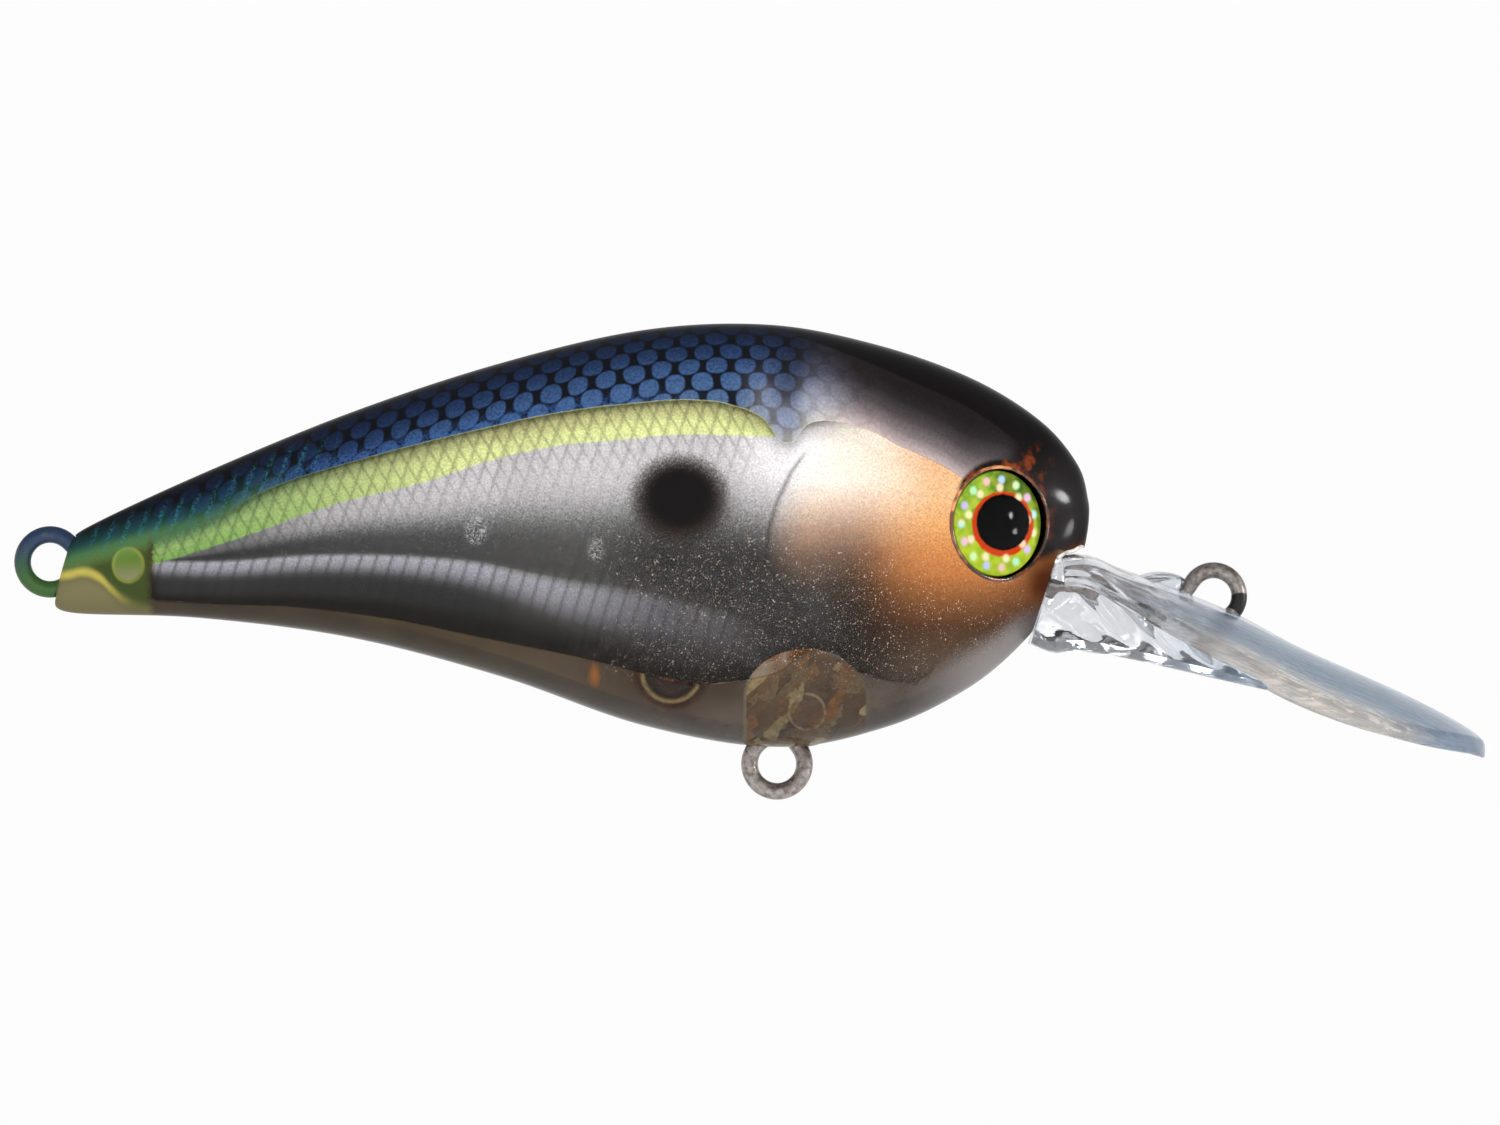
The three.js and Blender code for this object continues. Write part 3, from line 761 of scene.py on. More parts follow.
def moulded_glimpses(s, x, z, place, film):
    """The smoke's colour over the hanger block, its post, the weight's pocket and the web, with painted
    highlights on the post's and the pocket's rims, a painted shadow round the pocket and a painted glint on
    the web.
    """
    from_block = s.oval(x, s.most(z, BLOCK_CENTRE.y), BLOCK_CENTRE, BLOCK_REACH)
    block = s.fade(from_block, 0.94, 1.0, 0.8, 0.0)
    sway = s.times(s.noise(place, 0.8, 2.0), 1.6)
    slanted = s.vector(s.add(s.minus(x, s.times(z, 0.5)), sway), 0.0, s.add(s.times(z, 0.5), sway))
    facets = s.node("ShaderNodeTexVoronoi", {"Vector": slanted, "Scale": 1.5})
    tone = s.node("ShaderNodeSeparateColor", {0: facets.outputs["Color"]}).outputs[0]
    amber = s.ramp(tone, 0.0, 1.0, [
        (0.0, rgb(66, 54, 42)), (0.4, rgb(90, 76, 58)), (0.58, rgb(134, 90, 44)), (0.66, rgb(84, 70, 54)),
        (0.88, rgb(112, 98, 72)), (1.0, rgb(206, 188, 132)),
    ])
    grain = s.noise(place, 3.0, 2.0)
    film = s.mix(block, film, s.scaled(amber, s.vary(grain, 0.8, 1.2)))
    rim = s.band(from_block, 0.96, 1.01, 0.02)
    film = s.mix(s.times(rim, s.fade(x, 37.0, 46.0, 0.5, 0.1)), film, rgb(132, 122, 102))
    # Painted highlight on the hanger post's rim.
    post_rim = s.band(s.oval(x, z, BELLY_POST, (1.07, 1.07)), 0.86, 1.0, 0.06)
    film = s.mix(s.times(post_rim, s.fade(grain, 0.3, 0.6, 0.2, 0.7)), film, rgb(150, 138, 116))
    pocket = s.oval(x, z, WEIGHT, (1.7, 1.7))
    # Painted shadow round the weight's pocket, then a painted highlight on its rim.
    film = s.mix(s.band(pocket, 0.7, 1.2, 0.1), film, rgb(36, 32, 27))
    pocket_rim_highlight = s.times(s.band(pocket, 0.9, 1.02, 0.06), s.fade(grain, 0.3, 0.6, 0.5, 1.0))
    film = s.mix(pocket_rim_highlight, film, rgb(136, 118, 82))
    glint = s.fade(s.oval(x, z, (30.3, -6.3), (0.5, 1.0)), 0.0, 1.0, 1.0, 0.0)
    return s.mix(s.times(glint, 0.7), film, rgb(176, 112, 46))


def flake_front(s, x, z, cover, rough_edge):
    """Where flake paint carries the foil's look on, past the foil's front edge and round the eye."""
    front = s.times(s.fade(s.add(x, s.times(rough_edge, 3.0)), 42.4, 47.5), s.inverse(cover))
    over_throat = s.add(s.minus(z, s.line(x, THROAT)), s.times(rough_edge, 4.0))
    return s.times(front, s.fade(over_throat, -1.1, 1.0))


def bright_flecks(s, x, z, place, cover):
    """Where single bright flakes lie over the dark part of the foil."""
    zone = s.times(s.band(x, 30.0, 46.5, 2.5), s.band(z, -6.6, 3.4, 1.2))
    dots = s.fade(s.noise(place, 11.0, 1.0), 0.62, 0.72)
    clusters = s.fade(s.noise(place, 1.6, 2.0), 0.3, 0.6)
    return s.times(s.times(s.times(dots, clusters), zone), s.inverse(cover))


def eye_lacquer(s, x, z, place, colour):
    """Dark amber lacquer over and ahead of the eye and brown below it: the new colour and its cover."""
    from_eye = s.oval(x, z, EYE, (0.86, 1.0))
    away = s.oval(x, z, (EYE.x + 1.9, EYE.y + 0.9), (3.2, 3.5))
    lacquer = s.times(s.fade(away, 0.72, 1.12, 1.0, 0.0), s.fade(x, 50.6, 53.0))
    brow = s.times(s.fade(from_eye, EYE_RADIUS + 0.5, EYE_RADIUS + 0.8, 1.0, 0.0), s.fade(z, 3.6, 4.2))
    lacquer = s.most(lacquer, s.times(brow, s.fade(x, 50.3, 50.9)))
    ring_glow = s.fade(from_eye, EYE_RADIUS + 0.1, EYE_RADIUS + 0.9, 1.0, 0.0)
    patches = s.fade(s.add(s.noise(place, 1.1, 2.0), s.times(ring_glow, 0.1)), 0.5, 0.74)
    amber = s.mix(patches, rgb(12, 6, 4), rgb(112, 46, 12))
    amber = s.mix(s.fade(x, 54.6, 56.4), amber, rgb(18, 15, 16))
    colour = s.mix(lacquer, colour, amber)
    under_eye = s.times(s.band(x, 54.4, 60.0, 0.9), s.band(z, -2.0, 0.9, 0.6))
    colour = s.mix(s.times(under_eye, s.inverse(lacquer)), colour, rgb(92, 46, 22))
    return colour, s.most(lacquer, under_eye)


def black_spot(s, x, z, height, rough_edge, colour):
    """The black spot, its edge a soft spray: the new colour and the spot's cover."""
    from_spot = s.oval(x, z, SPOT, (1.12, 1.0))
    spray = s.add(from_spot, s.times(rough_edge, 2.4))
    spot = s.times(s.fade(spray, 1.5, 3.1, 1.0, 0.0), s.inverse(s.fade(height, -0.1, 0.0)))
    spot_colour = s.mix(s.fade(from_spot, 1.2, 2.8), rgb(8, 5, 6), rgb(50, 40, 34))
    return s.mix(s.fade(spot, 0.02, 0.5), colour, spot_colour), spot


def tail_film(s, x, z, cloud):
    """The tail's film: green over olive, a yellow curve between them and the tail post's ring."""
    from_swoosh = s.minus(z, s.line(x, SWOOSH))
    curve = s.fade(s.math("ABSOLUTE", from_swoosh), 0.02, 0.42, 1.0, 0.0)
    swoosh = s.times(curve, s.fade(x, 2.2, 4.4, 0.7, 0.1))
    from_post = s.oval(x, z, TAIL_POST, (0.92, 1.02))
    post_rim = s.band(from_post, 0.84, 1.0, 0.1)
    post_face = s.fade(from_post, 0.78, 0.92, 1.0, 0.0)
    post_colour = s.mix(s.fade(z, -1.2, 0.3), rgb(116, 112, 84), rgb(78, 104, 38))
    film = s.mix(s.fade(from_swoosh, -0.9, 0.7), rgb(104, 98, 68), rgb(50, 62, 24))
    film = s.mix(s.times(swoosh, s.fade(cloud, 0.3, 0.5, 0.55, 1.0)), film, rgb(186, 172, 76))
    film = s.mix(post_face, film, post_colour)
    return s.mix(s.times(post_rim, s.fade(cloud, 0.3, 0.6, 0.4, 0.9)), film, rgb(122, 130, 56))


def belly_film(s, x, z, place, from_foil, tail, chin):
    """The colour of the smoked belly, with painted shade close under the foil, and the tail and the chin."""
    cloud = s.noise(place, 0.35, 3.0, 0.6)
    film = s.mix(s.fade(x, 20.0, 42.0), rgb(74, 64, 50), rgb(88, 80, 74))
    film = s.scaled(film, s.vary(cloud, 0.8, 1.25))
    shade_under = s.times(s.fade(from_foil, -2.2, 0.0), s.band(x, 31.0, 39.0, 2.0))
    film = s.scaled(film, s.math("MULTIPLY_ADD", shade_under, -0.6, 1.0))
    film = s.mix(tail, film, tail_film(s, x, z, cloud))
    film = s.mix(chin, film, rgb(152, 146, 144))
    return moulded_glimpses(s, x, z, place, film)


def shell_material():
    """Paint, film or clear plastic, by place: cover is how far the paint and film hide what is behind."""
    s = Shader("painted_clear_shell")
    x, _, z, place = s.body_place()
    paint, height, cells = back_paint(s, x, z, place)
    flakes = flank_colours(s, x, z, place)
    fine = s.noise(place, 10.0, 2.0, 0.6)
    rough_edge = s.times(s.minus(fine, 0.5), 0.5)
    edge = s.fade(x, 4.0, 14.0, 0.7, 0.05)
    cover = s.fade(s.add(height, s.times(rough_edge, 0.25)), s.times(edge, -1.0), edge)
    front = flake_front(s, x, z, cover, rough_edge)
    flecks = bright_flecks(s, x, z, place, cover)
    colour = s.mix(flecks, s.mix(cover, flakes, paint), rgb(190, 180, 172))
    colour, lacquer = eye_lacquer(s, x, z, place, colour)
    cover = s.most(s.most(s.most(cover, front), lacquer), s.times(flecks, 0.75))
    colour, spot = black_spot(s, x, z, height, rough_edge, colour)
    cover = s.most(cover, spot)

    tail = s.fade(s.add(x, s.times(rough_edge, 1.2)), 5.1, 5.7, 1.0, 0.0)
    chin = s.times(s.fade(x, 47.0, 53.0), s.fade(z, -7.5, -3.5, 1.0, 0.85))
    from_foil = s.minus(z, s.line(x, FOIL_FOOT))
    film = belly_film(s, x, z, place, from_foil, tail, chin)
    off_foil = s.most(s.fade(from_foil, -0.1, 0.1, 1.0, 0.0), s.most(s.fade(x, 49.5, 50.5), tail))
    filmed = s.times(off_foil, s.math("MULTIPLY_ADD", tail, 0.38, 0.5))
    filmed = s.times(filmed, s.math("MULTIPLY_ADD", chin, 0.45, 1.0))
    any_film = s.fade(filmed, 0.0, 0.2)
    bare = s.inverse(cover)
    colour = s.mix(s.times(bare, any_film), colour, film)
    cover = s.add(cover, s.times(bare, filmed))
    tint = s.mix(s.fade(x, 24.0, 40.0), rgb(150, 132, 92), rgb(160, 140, 118))
    tint = s.mix(tail, tint, rgb(214, 190, 92))
    tint = s.mix(chin, tint, rgb(222, 216, 210))
    tint = s.mix(any_film, grey(252), tint)

    satin = s.times(s.fade(height, -0.1, 0.2), s.fade(x, 40.0, 44.0))
    painted = s.principled(
        Base_Color=colour,
        Metallic=s.times(front, 0.5),
        Roughness=s.math("MULTIPLY_ADD", satin, -0.1, 0.5),
        Specular_IOR_Level=0.05,
        Coat_Weight=0.16,
        Coat_Roughness=0.1,
        Normal=s.bump(s.add(s.times(cells, 0.4), s.times(fine, 0.3)), 0.18, 0.00003),
    )
    return s.done(s.blend(cover, s.clear(tint, 0.04, 1.26), painted))


def inside_material():
    """The shell's inner faces and the walls of its cuts."""
    s = Shader("shell_inside")
    x, _, z, place = s.body_place()
    haze = s.noise(place, 1.2, 3.0)
    amber = s.times(s.fade(x, 46.0, 50.0), s.fade(z, -3.0, 0.0))
    tint = s.mix(amber, grey(252), rgb(96, 48, 22))
    veil = s.node("ShaderNodeBsdfDiffuse", {0: s.mix(amber, rgb(130, 122, 112), rgb(60, 30, 16))}).outputs[0]
    clear = s.clear(tint, s.vary(haze, 0.05, 0.2), 1.2)
    return s.done(s.blend(s.vary(haze, 0.01, 0.05), clear, veil))


def polycarbonate():
    s = Shader("clear_polycarbonate")
    x, y, z, place = s.body_place()
    streaks = s.noise(s.vector(s.times(x, 0.25), s.times(y, 5.0), s.times(z, 2.5)), 1.0, 3.0, 0.6)
    swirl = s.noise(place, 0.3, 0.0, 0.5, 1.6)
    root = s.fade(x, 58.0, 66.0, 1.0, 0.0)
    relief = s.add(s.times(streaks, 0.06), s.times(swirl, s.times(root, 1.0)))
    glass = s.principled(
        Base_Color=s.mix(s.fade(x, 58.0, 68.0), rgb(214, 216, 220), rgb(228, 233, 238)),
        Roughness=s.fade(streaks, 0.35, 0.7, 0.02, 0.09),
        IOR=1.56,
        Transmission_Weight=1.0,
        Normal=s.bump(relief, 0.4, 0.0006),
    )
    from_middle = s.fade(s.math("ABSOLUTE", y), 5.6, 7.8)
    milk_colour = s.mix(from_middle, rgb(146, 164, 184), rgb(240, 228, 212))
    milk_colour = s.scaled(milk_colour, s.vary(streaks, 0.86, 1.1))
    scatter = s.node("ShaderNodeBsdfDiffuse", {0: milk_colour}).outputs[0]
    milk = s.times(s.fade(x, 60.0, 68.0), s.fade(streaks, 0.25, 0.75, 0.16, 0.34))
    return s.done(s.blend(milk, glass, scatter))


def amber_insert():
    """The clear posts and blocks that are moulded inside, seen through the smoked belly."""
    s = Shader("moulded_inside")
    *_, place = s.body_place()
    facets = s.node("ShaderNodeTexVoronoi", {"Vector": place, "Scale": 0.55}).outputs["Distance"]
    tone = s.fade(facets, 0.2, 0.75)
    tint = s.mix(tone, rgb(222, 150, 70), rgb(244, 226, 196))
    body = s.principled(
        Base_Color=s.mix(tone, rgb(190, 110, 40), rgb(206, 192, 170)), Roughness=0.25
    )
    clear = s.clear(tint, 0.08, 1.5)
    return s.done(s.blend(s.math("MULTIPLY_ADD", tone, 0.25, 0.2), clear, body))


def clear_post():
    """The round posts that the hanger wires are looped over."""
    s = Shader("moulded_post")
    *_, place = s.body_place()
    haze = s.noise(place, 1.5, 2.0)
    tint = s.mix(s.fade(haze, 0.35, 0.65), rgb(214, 186, 140), rgb(228, 214, 190))
    return s.done(s.clear(tint, 0.06, 1.6))


def steel_wire(name, centre, black_from, black_to, painted=False):
    """Satin dark wire round a centre, with a black stretch between two angles in degrees."""
    s = Shader(name)
    x, y, z, place = s.body_place()
    angle = s.times(s.math("ARCTAN2", s.minus(z, centre.y), s.minus(x, centre.x)), 180 / math.pi)
    drawn = s.noise(place, 3.0, 3.0, 0.6)
    colour = s.mix(s.fade(drawn, 0.3, 0.7), rgb(112, 104, 100), rgb(168, 160, 154))
    if painted:
        spray = s.mix(s.fade(z, -1.2, 1.2), rgb(44, 84, 30), rgb(24, 48, 76))
        colour = s.mix(s.fade(drawn, 0.25, 0.5, 0.55, 0.95), s.scaled(colour, 0.5), spray)
    slant = s.add(angle, s.times(y, 16.0))
    # The mask called bare is the black stretch between the two angles; it is also less metallic.
    bare = s.band(slant, black_from, black_to, 1.2)
    colour = s.mix(bare, colour, rgb(22, 21, 22))
    surface = s.principled(
        Base_Color=colour,
        Metallic=s.math("MULTIPLY_ADD", bare, -0.5, 0.4 if painted else 0.85),
        Roughness=s.vary(drawn, 0.26, 0.42),
        Normal=s.bump(drawn, 0.2, 0.00002),
    )
    return s.done(surface)


def holographic_print():
    """A green ring with two circles of rainbow dots, an orange ring and a black pupil."""
    s = Shader("holographic_eye")
    uv = s.node("ShaderNodeUVMap", uv_map="skin").outputs[0]
    flat = s.node("ShaderNodeSeparateXYZ", {0: uv})
    across, up = flat.outputs[0], flat.outputs[1]
    radius = s.math("SQRT", s.add(s.times(across, across), s.times(up, up)))
    angle = s.over(s.math("ARCTAN2", up, across), 2 * math.pi)
    pupil_radius = s.oval(across, up, (0.36, 0.07), (1.15, 1.0))
    ring_radius = s.oval(across, up, (0.33, -0.03), (1.15, 1.0))
    wave = s.noise(uv, 1.6, 2.0)
    green = s.mix(s.fade(wave, 0.35, 0.65), rgb(118, 164, 50), rgb(190, 208, 70))
    colour = s.mix(s.fade(up, -2.6, 2.2), s.mix(0.5, green, rgb(214, 226, 40)), green)
    shaded = s.times(s.fade(up, 0.2, 2.4), s.fade(across, -1.6, 1.2))
    colour = s.scaled(colour, s.fade(shaded, 0.0, 1.0, 0.86, 0.36))
    fray = s.times(s.minus(s.noise(uv, 4.0, 2.0), 0.5), 0.18)
    ring = s.fade(s.add(ring_radius, fray), 1.76, 1.88, 1.0, 0.0)
    for circle, count, turn, warm in ((2.46, 15.0, 0.0, False), (2.02, 9.0, 0.35, True)):
        if warm:
            colour = s.mix(ring, colour, rgb(206, 62, 20))
        spoke = s.add(s.times(angle, count), 50.0 + turn)
        along = s.times(s.minus(s.math("FRACT", spoke), 0.5), 2 * math.pi * circle / count)
        away = s.oval(along, radius, (0.0, circle), (1.0, 1.0))
        hue = s.math("FRACT", s.times(s.math("FLOOR", spoke), 0.37))
        if warm:
            hue = s.math("MULTIPLY_ADD", hue, 0.07, 0.07)
        dot = s.node("ShaderNodeCombineColor", {0: hue, 1: 0.45, 2: 0.95}, mode="HSV").outputs[0]
        colour = s.mix(s.fade(away, 0.12, 0.34, 0.9, 0.0), colour, dot)
    pupil = s.fade(s.add(pupil_radius, fray), 1.53, 1.6, 1.0, 0.0)
    colour = s.mix(pupil, colour, rgb(6, 6, 7))
    surface = s.principled(
        Base_Color=s.scaled(colour, 0.72),
        Metallic=s.math("MULTIPLY_ADD", pupil, -0.35, 0.35),
        Roughness=0.3,
        Specular_IOR_Level=0.0,
    )
    return s.done(surface)


def dome_material():
    s = Shader("clear_dome")
    place = s.node("ShaderNodeTexCoord").outputs["Object"]
    haze = s.noise(place, 2500.0, 2.0)
    return s.done(s.clear(rgb(246, 248, 246), s.vary(haze, 0.015, 0.04), 1.2))


def polished_metal(name, light, dark, roughness):
    s = Shader(name)
    place = s.node("ShaderNodeTexCoord").outputs["Object"]
    wear = s.noise(place, 1800.0, 4.0, 0.6)
    surface = s.principled(
        Base_Color=s.mix(s.fade(wear, 0.3, 0.7), dark, light),
        Metallic=0.9,
        Roughness=s.vary(wear, roughness, roughness + 0.15),
        Normal=s.bump(wear, 0.15, 0.00002),
    )
    return s.done(surface)


# ---------------------------------------------------------------- shells


def half_body(name, side, materials):
    """One closed, solid half of the body, with millimetres along and down the skin as its uv."""
    stations, around = 220, 90
    t = (1 - np.cos(np.linspace(0, math.pi, stations))) / 2
    angles = np.linspace(0, math.pi, around)
    rings = skin(t[:, None], -side * angles[None, :])
    middle = rings[:, around // 3, :]
    along = np.concatenate([[0], np.cumsum(np.linalg.norm(np.diff(middle, axis=0), axis=1))])
    steps = np.linalg.norm(np.diff(rings, axis=1), axis=2)
    down = np.concatenate([np.zeros((stations, 1)), np.cumsum(steps, axis=1)], axis=1)
    uv = np.stack([np.broadcast_to(along[:, None], down.shape), down], axis=-1)
    rings[..., 1] += side * PARTING_GAP
    return closed_tube(name, rings, materials, uv)


def hollow(materials):
    stations, around = 90, 96
    t = np.linspace(0.12, 0.845, stations)
    angles = np.linspace(0, 2 * math.pi, around, endpoint=False)
    return use_slot_two(closed_tube("hollow", skin(t[:, None], angles[None, :], WALL), materials))


def eye_frame(side):
    """The point on the skin at the eye's centre, and the way the eye looks out."""
    centre = Vector((EYE.x, side * float(flank_width(EYE.x, EYE.y)), EYE.y))
    axis = Vector((math.sin(EYE_YAW), side * math.cos(EYE_YAW), 0))
    return centre, axis


def eye_rod(name, side, radius, start, end, materials):
    centre, axis = eye_frame(side)
    return rod(name, centre + axis * start, centre + axis * end, radius, materials)


def lip_slot(materials):
    reach = 0.04
    back = SLOT_TOP.x - reach
    outline = [
        (back, SLOT_TOP.y + reach),
        (SLOT_TOP.x + 1.3, SLOT_TOP.y + 0.5), (SLOT_TOP.x + 2.4, SLOT_TOP.y + 0.7),
        (70, 0.5), (70, BELOW_BELLY), (SLOT_FOOT.x - 1.0, BELOW_BELLY), (SLOT_FOOT.x - reach, SLOT_FOOT.y),
    ]
    return use_slot_two(slab("lip_slot", outline, 9, materials))


def eye_slot(name, eye, materials):
    reach = WIRE_RADIUS + 0.06
    start, end = (eye.x, -reach, eye.y), (eye.x, reach, eye.y)
    return use_slot_two(rod(name, start, end, HANGER_LOOP + reach, materials))


def build_shell(word, side, materials):
    shell = half_body(f"shell_{word}", side, materials)
    pad = use_slot_two(eye_rod("pad", side, EYE_RADIUS + 0.8, -SOCKET_DEPTH - 0.9, 3, materials))
    carve(pad, [("INTERSECT", half_body("trim", side, materials))])
    carve(shell, [
        ("DIFFERENCE", hollow(materials)),
        ("UNION", pad),
        ("DIFFERENCE", use_slot_two(eye_rod("socket", side, EYE_RADIUS + 0.12, -SOCKET_DEPTH, 4, materials))),
        ("DIFFERENCE", lip_slot(materials)),
        ("DIFFERENCE", eye_slot("belly_slot", BELLY_EYE, materials)),
        ("DIFFERENCE", eye_slot("tail_slot", TAIL_EYE, materials)),
    ])
    shade(shell)
    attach(shell, "body")
    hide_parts(f"body_shell_{word}")


# ---------------------------------------------------------------- foil


def foil_relief(points):
    """How deep the embossing is at body-frame points, from 0 on the face to 1 in a groove."""
    x, z = points[..., 0], points[..., 2]

    def height(outline):
        return np.interp(x, [place for place, _ in outline], [value for _, value in outline])

    def grooves(lean, pitch, width):
        phase = np.mod((x - lean * z) / pitch + 50.5, 1) - 0.5
        return np.exp(-((phase * pitch / width) ** 2))

    above = z - height(RIB_TOP)
    down_stripe = height(STRIPE_FOOT) - z
    forward = grooves(0.33, RIB_PITCH, 0.085)
    backward = grooves(-0.62, RIB_PITCH, 0.07)
    lattice_fade = smoothstep(down_stripe, -0.5, 3.2)
    near_gill = smoothstep(x, 38.6, 40.0)
    rib_zone = smoothstep(-above, -0.15, 0.1)
    lattice = np.maximum(forward * (1 - 0.75 * lattice_fade), backward * (1 - lattice_fade)) * 0.6
    ribs = forward * np.where(-above > 0, 0.85 - 0.1 * np.clip(-above, 0, 4), 0)
    relief = np.maximum(lattice * (1 - rib_zone), ribs * rib_zone) * (1 - near_gill)
    gill_x = np.interp(z, [place for place, _ in GILL], [value for _, value in GILL])
    reach = smoothstep(z, -4.9, -4.2) * (1 - smoothstep(z, 5.6, 6.6))
    gill = np.exp(-(((x - gill_x) / 0.13) ** 2)) * reach
    return np.maximum(relief, gill * 0.9)


def build_foil(word, side, material):
    columns, rows = 420, 150
    x_foot = np.linspace(FOIL_FOOT[0][0], FOIL_FOOT[-1][0], columns)
    z_foot = np.interp(x_foot, [x for x, _ in FOIL_FOOT], [z for _, z in FOIL_FOOT])
    t = station(x_foot, z_foot)
    fullness = smoothstep(x_foot, 4.0, 30.0)
    face_depth = FOIL_DEPTH_AT_TAIL + (FOIL_DEPTH - FOIL_DEPTH_AT_TAIL) * fullness
    last = angle_at(t, x_foot, z_foot, face_depth)
    first = math.pi / 11
    share = np.linspace(0, 1, rows)
    angles = first + (last[:, None] - first) * share[None, :]
    face = skin(t[:, None], angles, face_depth[:, None])
    relief = foil_relief(face)
    outer = skin(t[:, None], -side * angles, face_depth[:, None] + 0.07 * relief)
    inner = skin(t[:, None], -side * angles, face_depth[:, None] + FOIL_THICKNESS)
    points = np.concatenate([outer.reshape(-1, 3), inner.reshape(-1, 3)])
    count = columns * rows
    faces = grid_faces(columns, rows) + grid_faces(columns, rows, start=count)
    ring = [column * rows for column in range(columns)]
    ring += [(columns - 1) * rows + row for row in range(1, rows)]
    ring += [column * rows + rows - 1 for column in range(columns - 2, -1, -1)]
    ring += [row for row in range(rows - 2, 0, -1)]
    faces += [(a, b, b + count, a + count) for a, b in zip(ring, ring[1:] + ring[:1])]
    foil = make_object(f"foil_{word}", points, faces, [material])
    recalculate(foil)
    groove = foil.data.attributes.new("groove", "FLOAT", "POINT")
    groove.data.foreach_set("value", np.concatenate([relief.ravel(), np.zeros(count)]).astype(np.float32))
    shade(foil, 60)
    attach(foil, "body")
    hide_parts(f"foil_insert_{word}")


# ---------------------------------------------------------------- inside the belly


def build_hanger_block(materials):
    """The domed block round the belly hanger, trimmed to the hollow."""
    centre, half_length = BLOCK_CENTRE.x, BLOCK_REACH[0]
    turns = np.linspace(0, math.pi, 40)
    arch = [
        (centre + half_length * math.cos(turn), BLOCK_CENTRE.y + BLOCK_REACH[1] * math.sin(turn))
        for turn in turns
    ]
    foot = [(centre - half_length, BELOW_BELLY), (centre + half_length, BELOW_BELLY)]
    block = slab("hanger_block", [*arch, *foot], 7, materials)
    angles = np.linspace(0, 2 * math.pi, 96, endpoint=False)
    t = np.linspace(0.3, 0.8, 60)
    room = closed_tube("room", skin(t[:, None], angles[None, :], WALL + 0.03), materials)
    post = rod("post", (BELLY_POST.x, -7, BELLY_POST.y), (BELLY_POST.x, 7, BELLY_POST.y), 1.0, materials)
    carve(block, [("INTERSECT", room), ("DIFFERENCE", post)])
    shade(block)
    return block


def pocket_ring(name, centre, radius, reach, materials):
    """The clear tube that a loose ball runs in."""
    x, z = centre
    tube = rod(name, (x, -reach, z), (x, reach, z), radius + 0.75, materials)
    bore = rod("bore", (x, -reach - 1, z), (x, reach + 1, z), radius + 0.2, materials)
    carve(tube, [("DIFFERENCE", bore)])
    shade(tube)
    return tube


def cross_post(name, centre, reach, radius, material):
    """A post across the body that a hanger's inner eye is looped over."""
    post = rod(name, (centre.x, -reach, centre.y), (centre.x, reach, centre.y), radius, [material])
    shade(post)
    return post


def build_web(material):
    """The thin wall from the front rattle's pocket down to the belly."""
    web = slab("web", [(29.85, -2.9), (30.55, -2.9), (30.55, -6.9), (29.85, -6.7)], 2.6, [material])
    shade(web)
    return web


def build_inside(material, post_material):
    pieces = [
        build_hanger_block([material]),
        cross_post("hanger_post", BELLY_POST, 4.6, 0.95, post_material),
        cross_post("tail_post", TAIL_POST, 0.9, 1.0, post_material),
        pocket_ring("weight_pocket", WEIGHT, WEIGHT_RADIUS, 2.8, [material]),
        pocket_ring("front_rattle_pocket", FRONT_RATTLE, RATTLE_RADIUS, 3.2, [material]),
        pocket_ring("rear_rattle_pocket", REAR_RATTLE, RATTLE_RADIUS, 2.6, [material]),
        build_web(material),
    ]
    for piece in pieces:
        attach(piece, "body")


def ellipsoid(name, centre, size, around, levels, pole_gap, materials):
    """A ball, or a squashed one, from rings of latitude that stop just short of its poles."""
    turns = np.linspace(0, 2 * math.pi, around, endpoint=False)
    lifts = np.linspace(-math.pi / 2 + pole_gap, math.pi / 2 - pole_gap, levels)
    unit = np.stack([
        np.outer(np.cos(lifts), np.cos(turns)),
        np.outer(np.cos(lifts), np.sin(turns)),
        np.outer(np.sin(lifts), np.ones(around)),
    ], axis=-1)
    return closed_tube(name, np.array(centre) + np.array(size) * unit, materials)


def ball(name, node, centre, radius, material):
    thing = ellipsoid(name, (centre[0], 0.0, centre[1]), (radius,) * 3, 40, 24, 0.01, [material])
    shade(thing)
    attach(thing, node)
    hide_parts(node)


# ---------------------------------------------------------------- wires


def hanger_route(eye, post):
    """A figure-eight: once round the eye, a crossing, and once round the post."""
    along = post - eye
    distance = along.length
    along = along / distance
    tangent = math.acos(2 * HANGER_LOOP / distance)
    lift = WIRE_RADIUS + 0.05

    def place(centre, angle, sign):
        u = centre + HANGER_LOOP * math.cos(angle)
        v = HANGER_LOOP * math.sin(angle)
        from_crossing = math.hypot(u - distance / 2, v)
        aside = sign * lift * math.exp(-((from_crossing / HANGER_LOOP) ** 2))
        return (eye.x + along.x * u - along.y * v, aside, eye.y + along.y * u + along.x * v)

    half_post = np.linspace(0.08, math.pi - tangent, 50)
    half_eye = np.linspace(-tangent, -math.pi, 50)
    there = [place(distance, angle, 1) for angle in half_post]
    there += [place(0, angle, 1) for angle in half_eye]
    back = [place(0, -angle, -1) for angle in half_eye[-2::-1]]
    back += [place(distance, -angle, -1) for angle in half_post[::-1]]
    return resample(np.array(there + back), 260)


def resample(points, count):
    """Evenly spaced points along a route, slightly smoothed."""
    gaps = np.linalg.norm(np.diff(points, axis=0), axis=1)
    length = np.concatenate([[0], np.cumsum(gaps)])
    even = np.linspace(0, length[-1], count)
    route = np.stack([np.interp(even, length, points[:, axis]) for axis in range(3)], axis=1)
    for _ in range(6):
        route[1:-1] = (route[:-2] + 2 * route[1:-1] + route[2:]) / 4
    return route


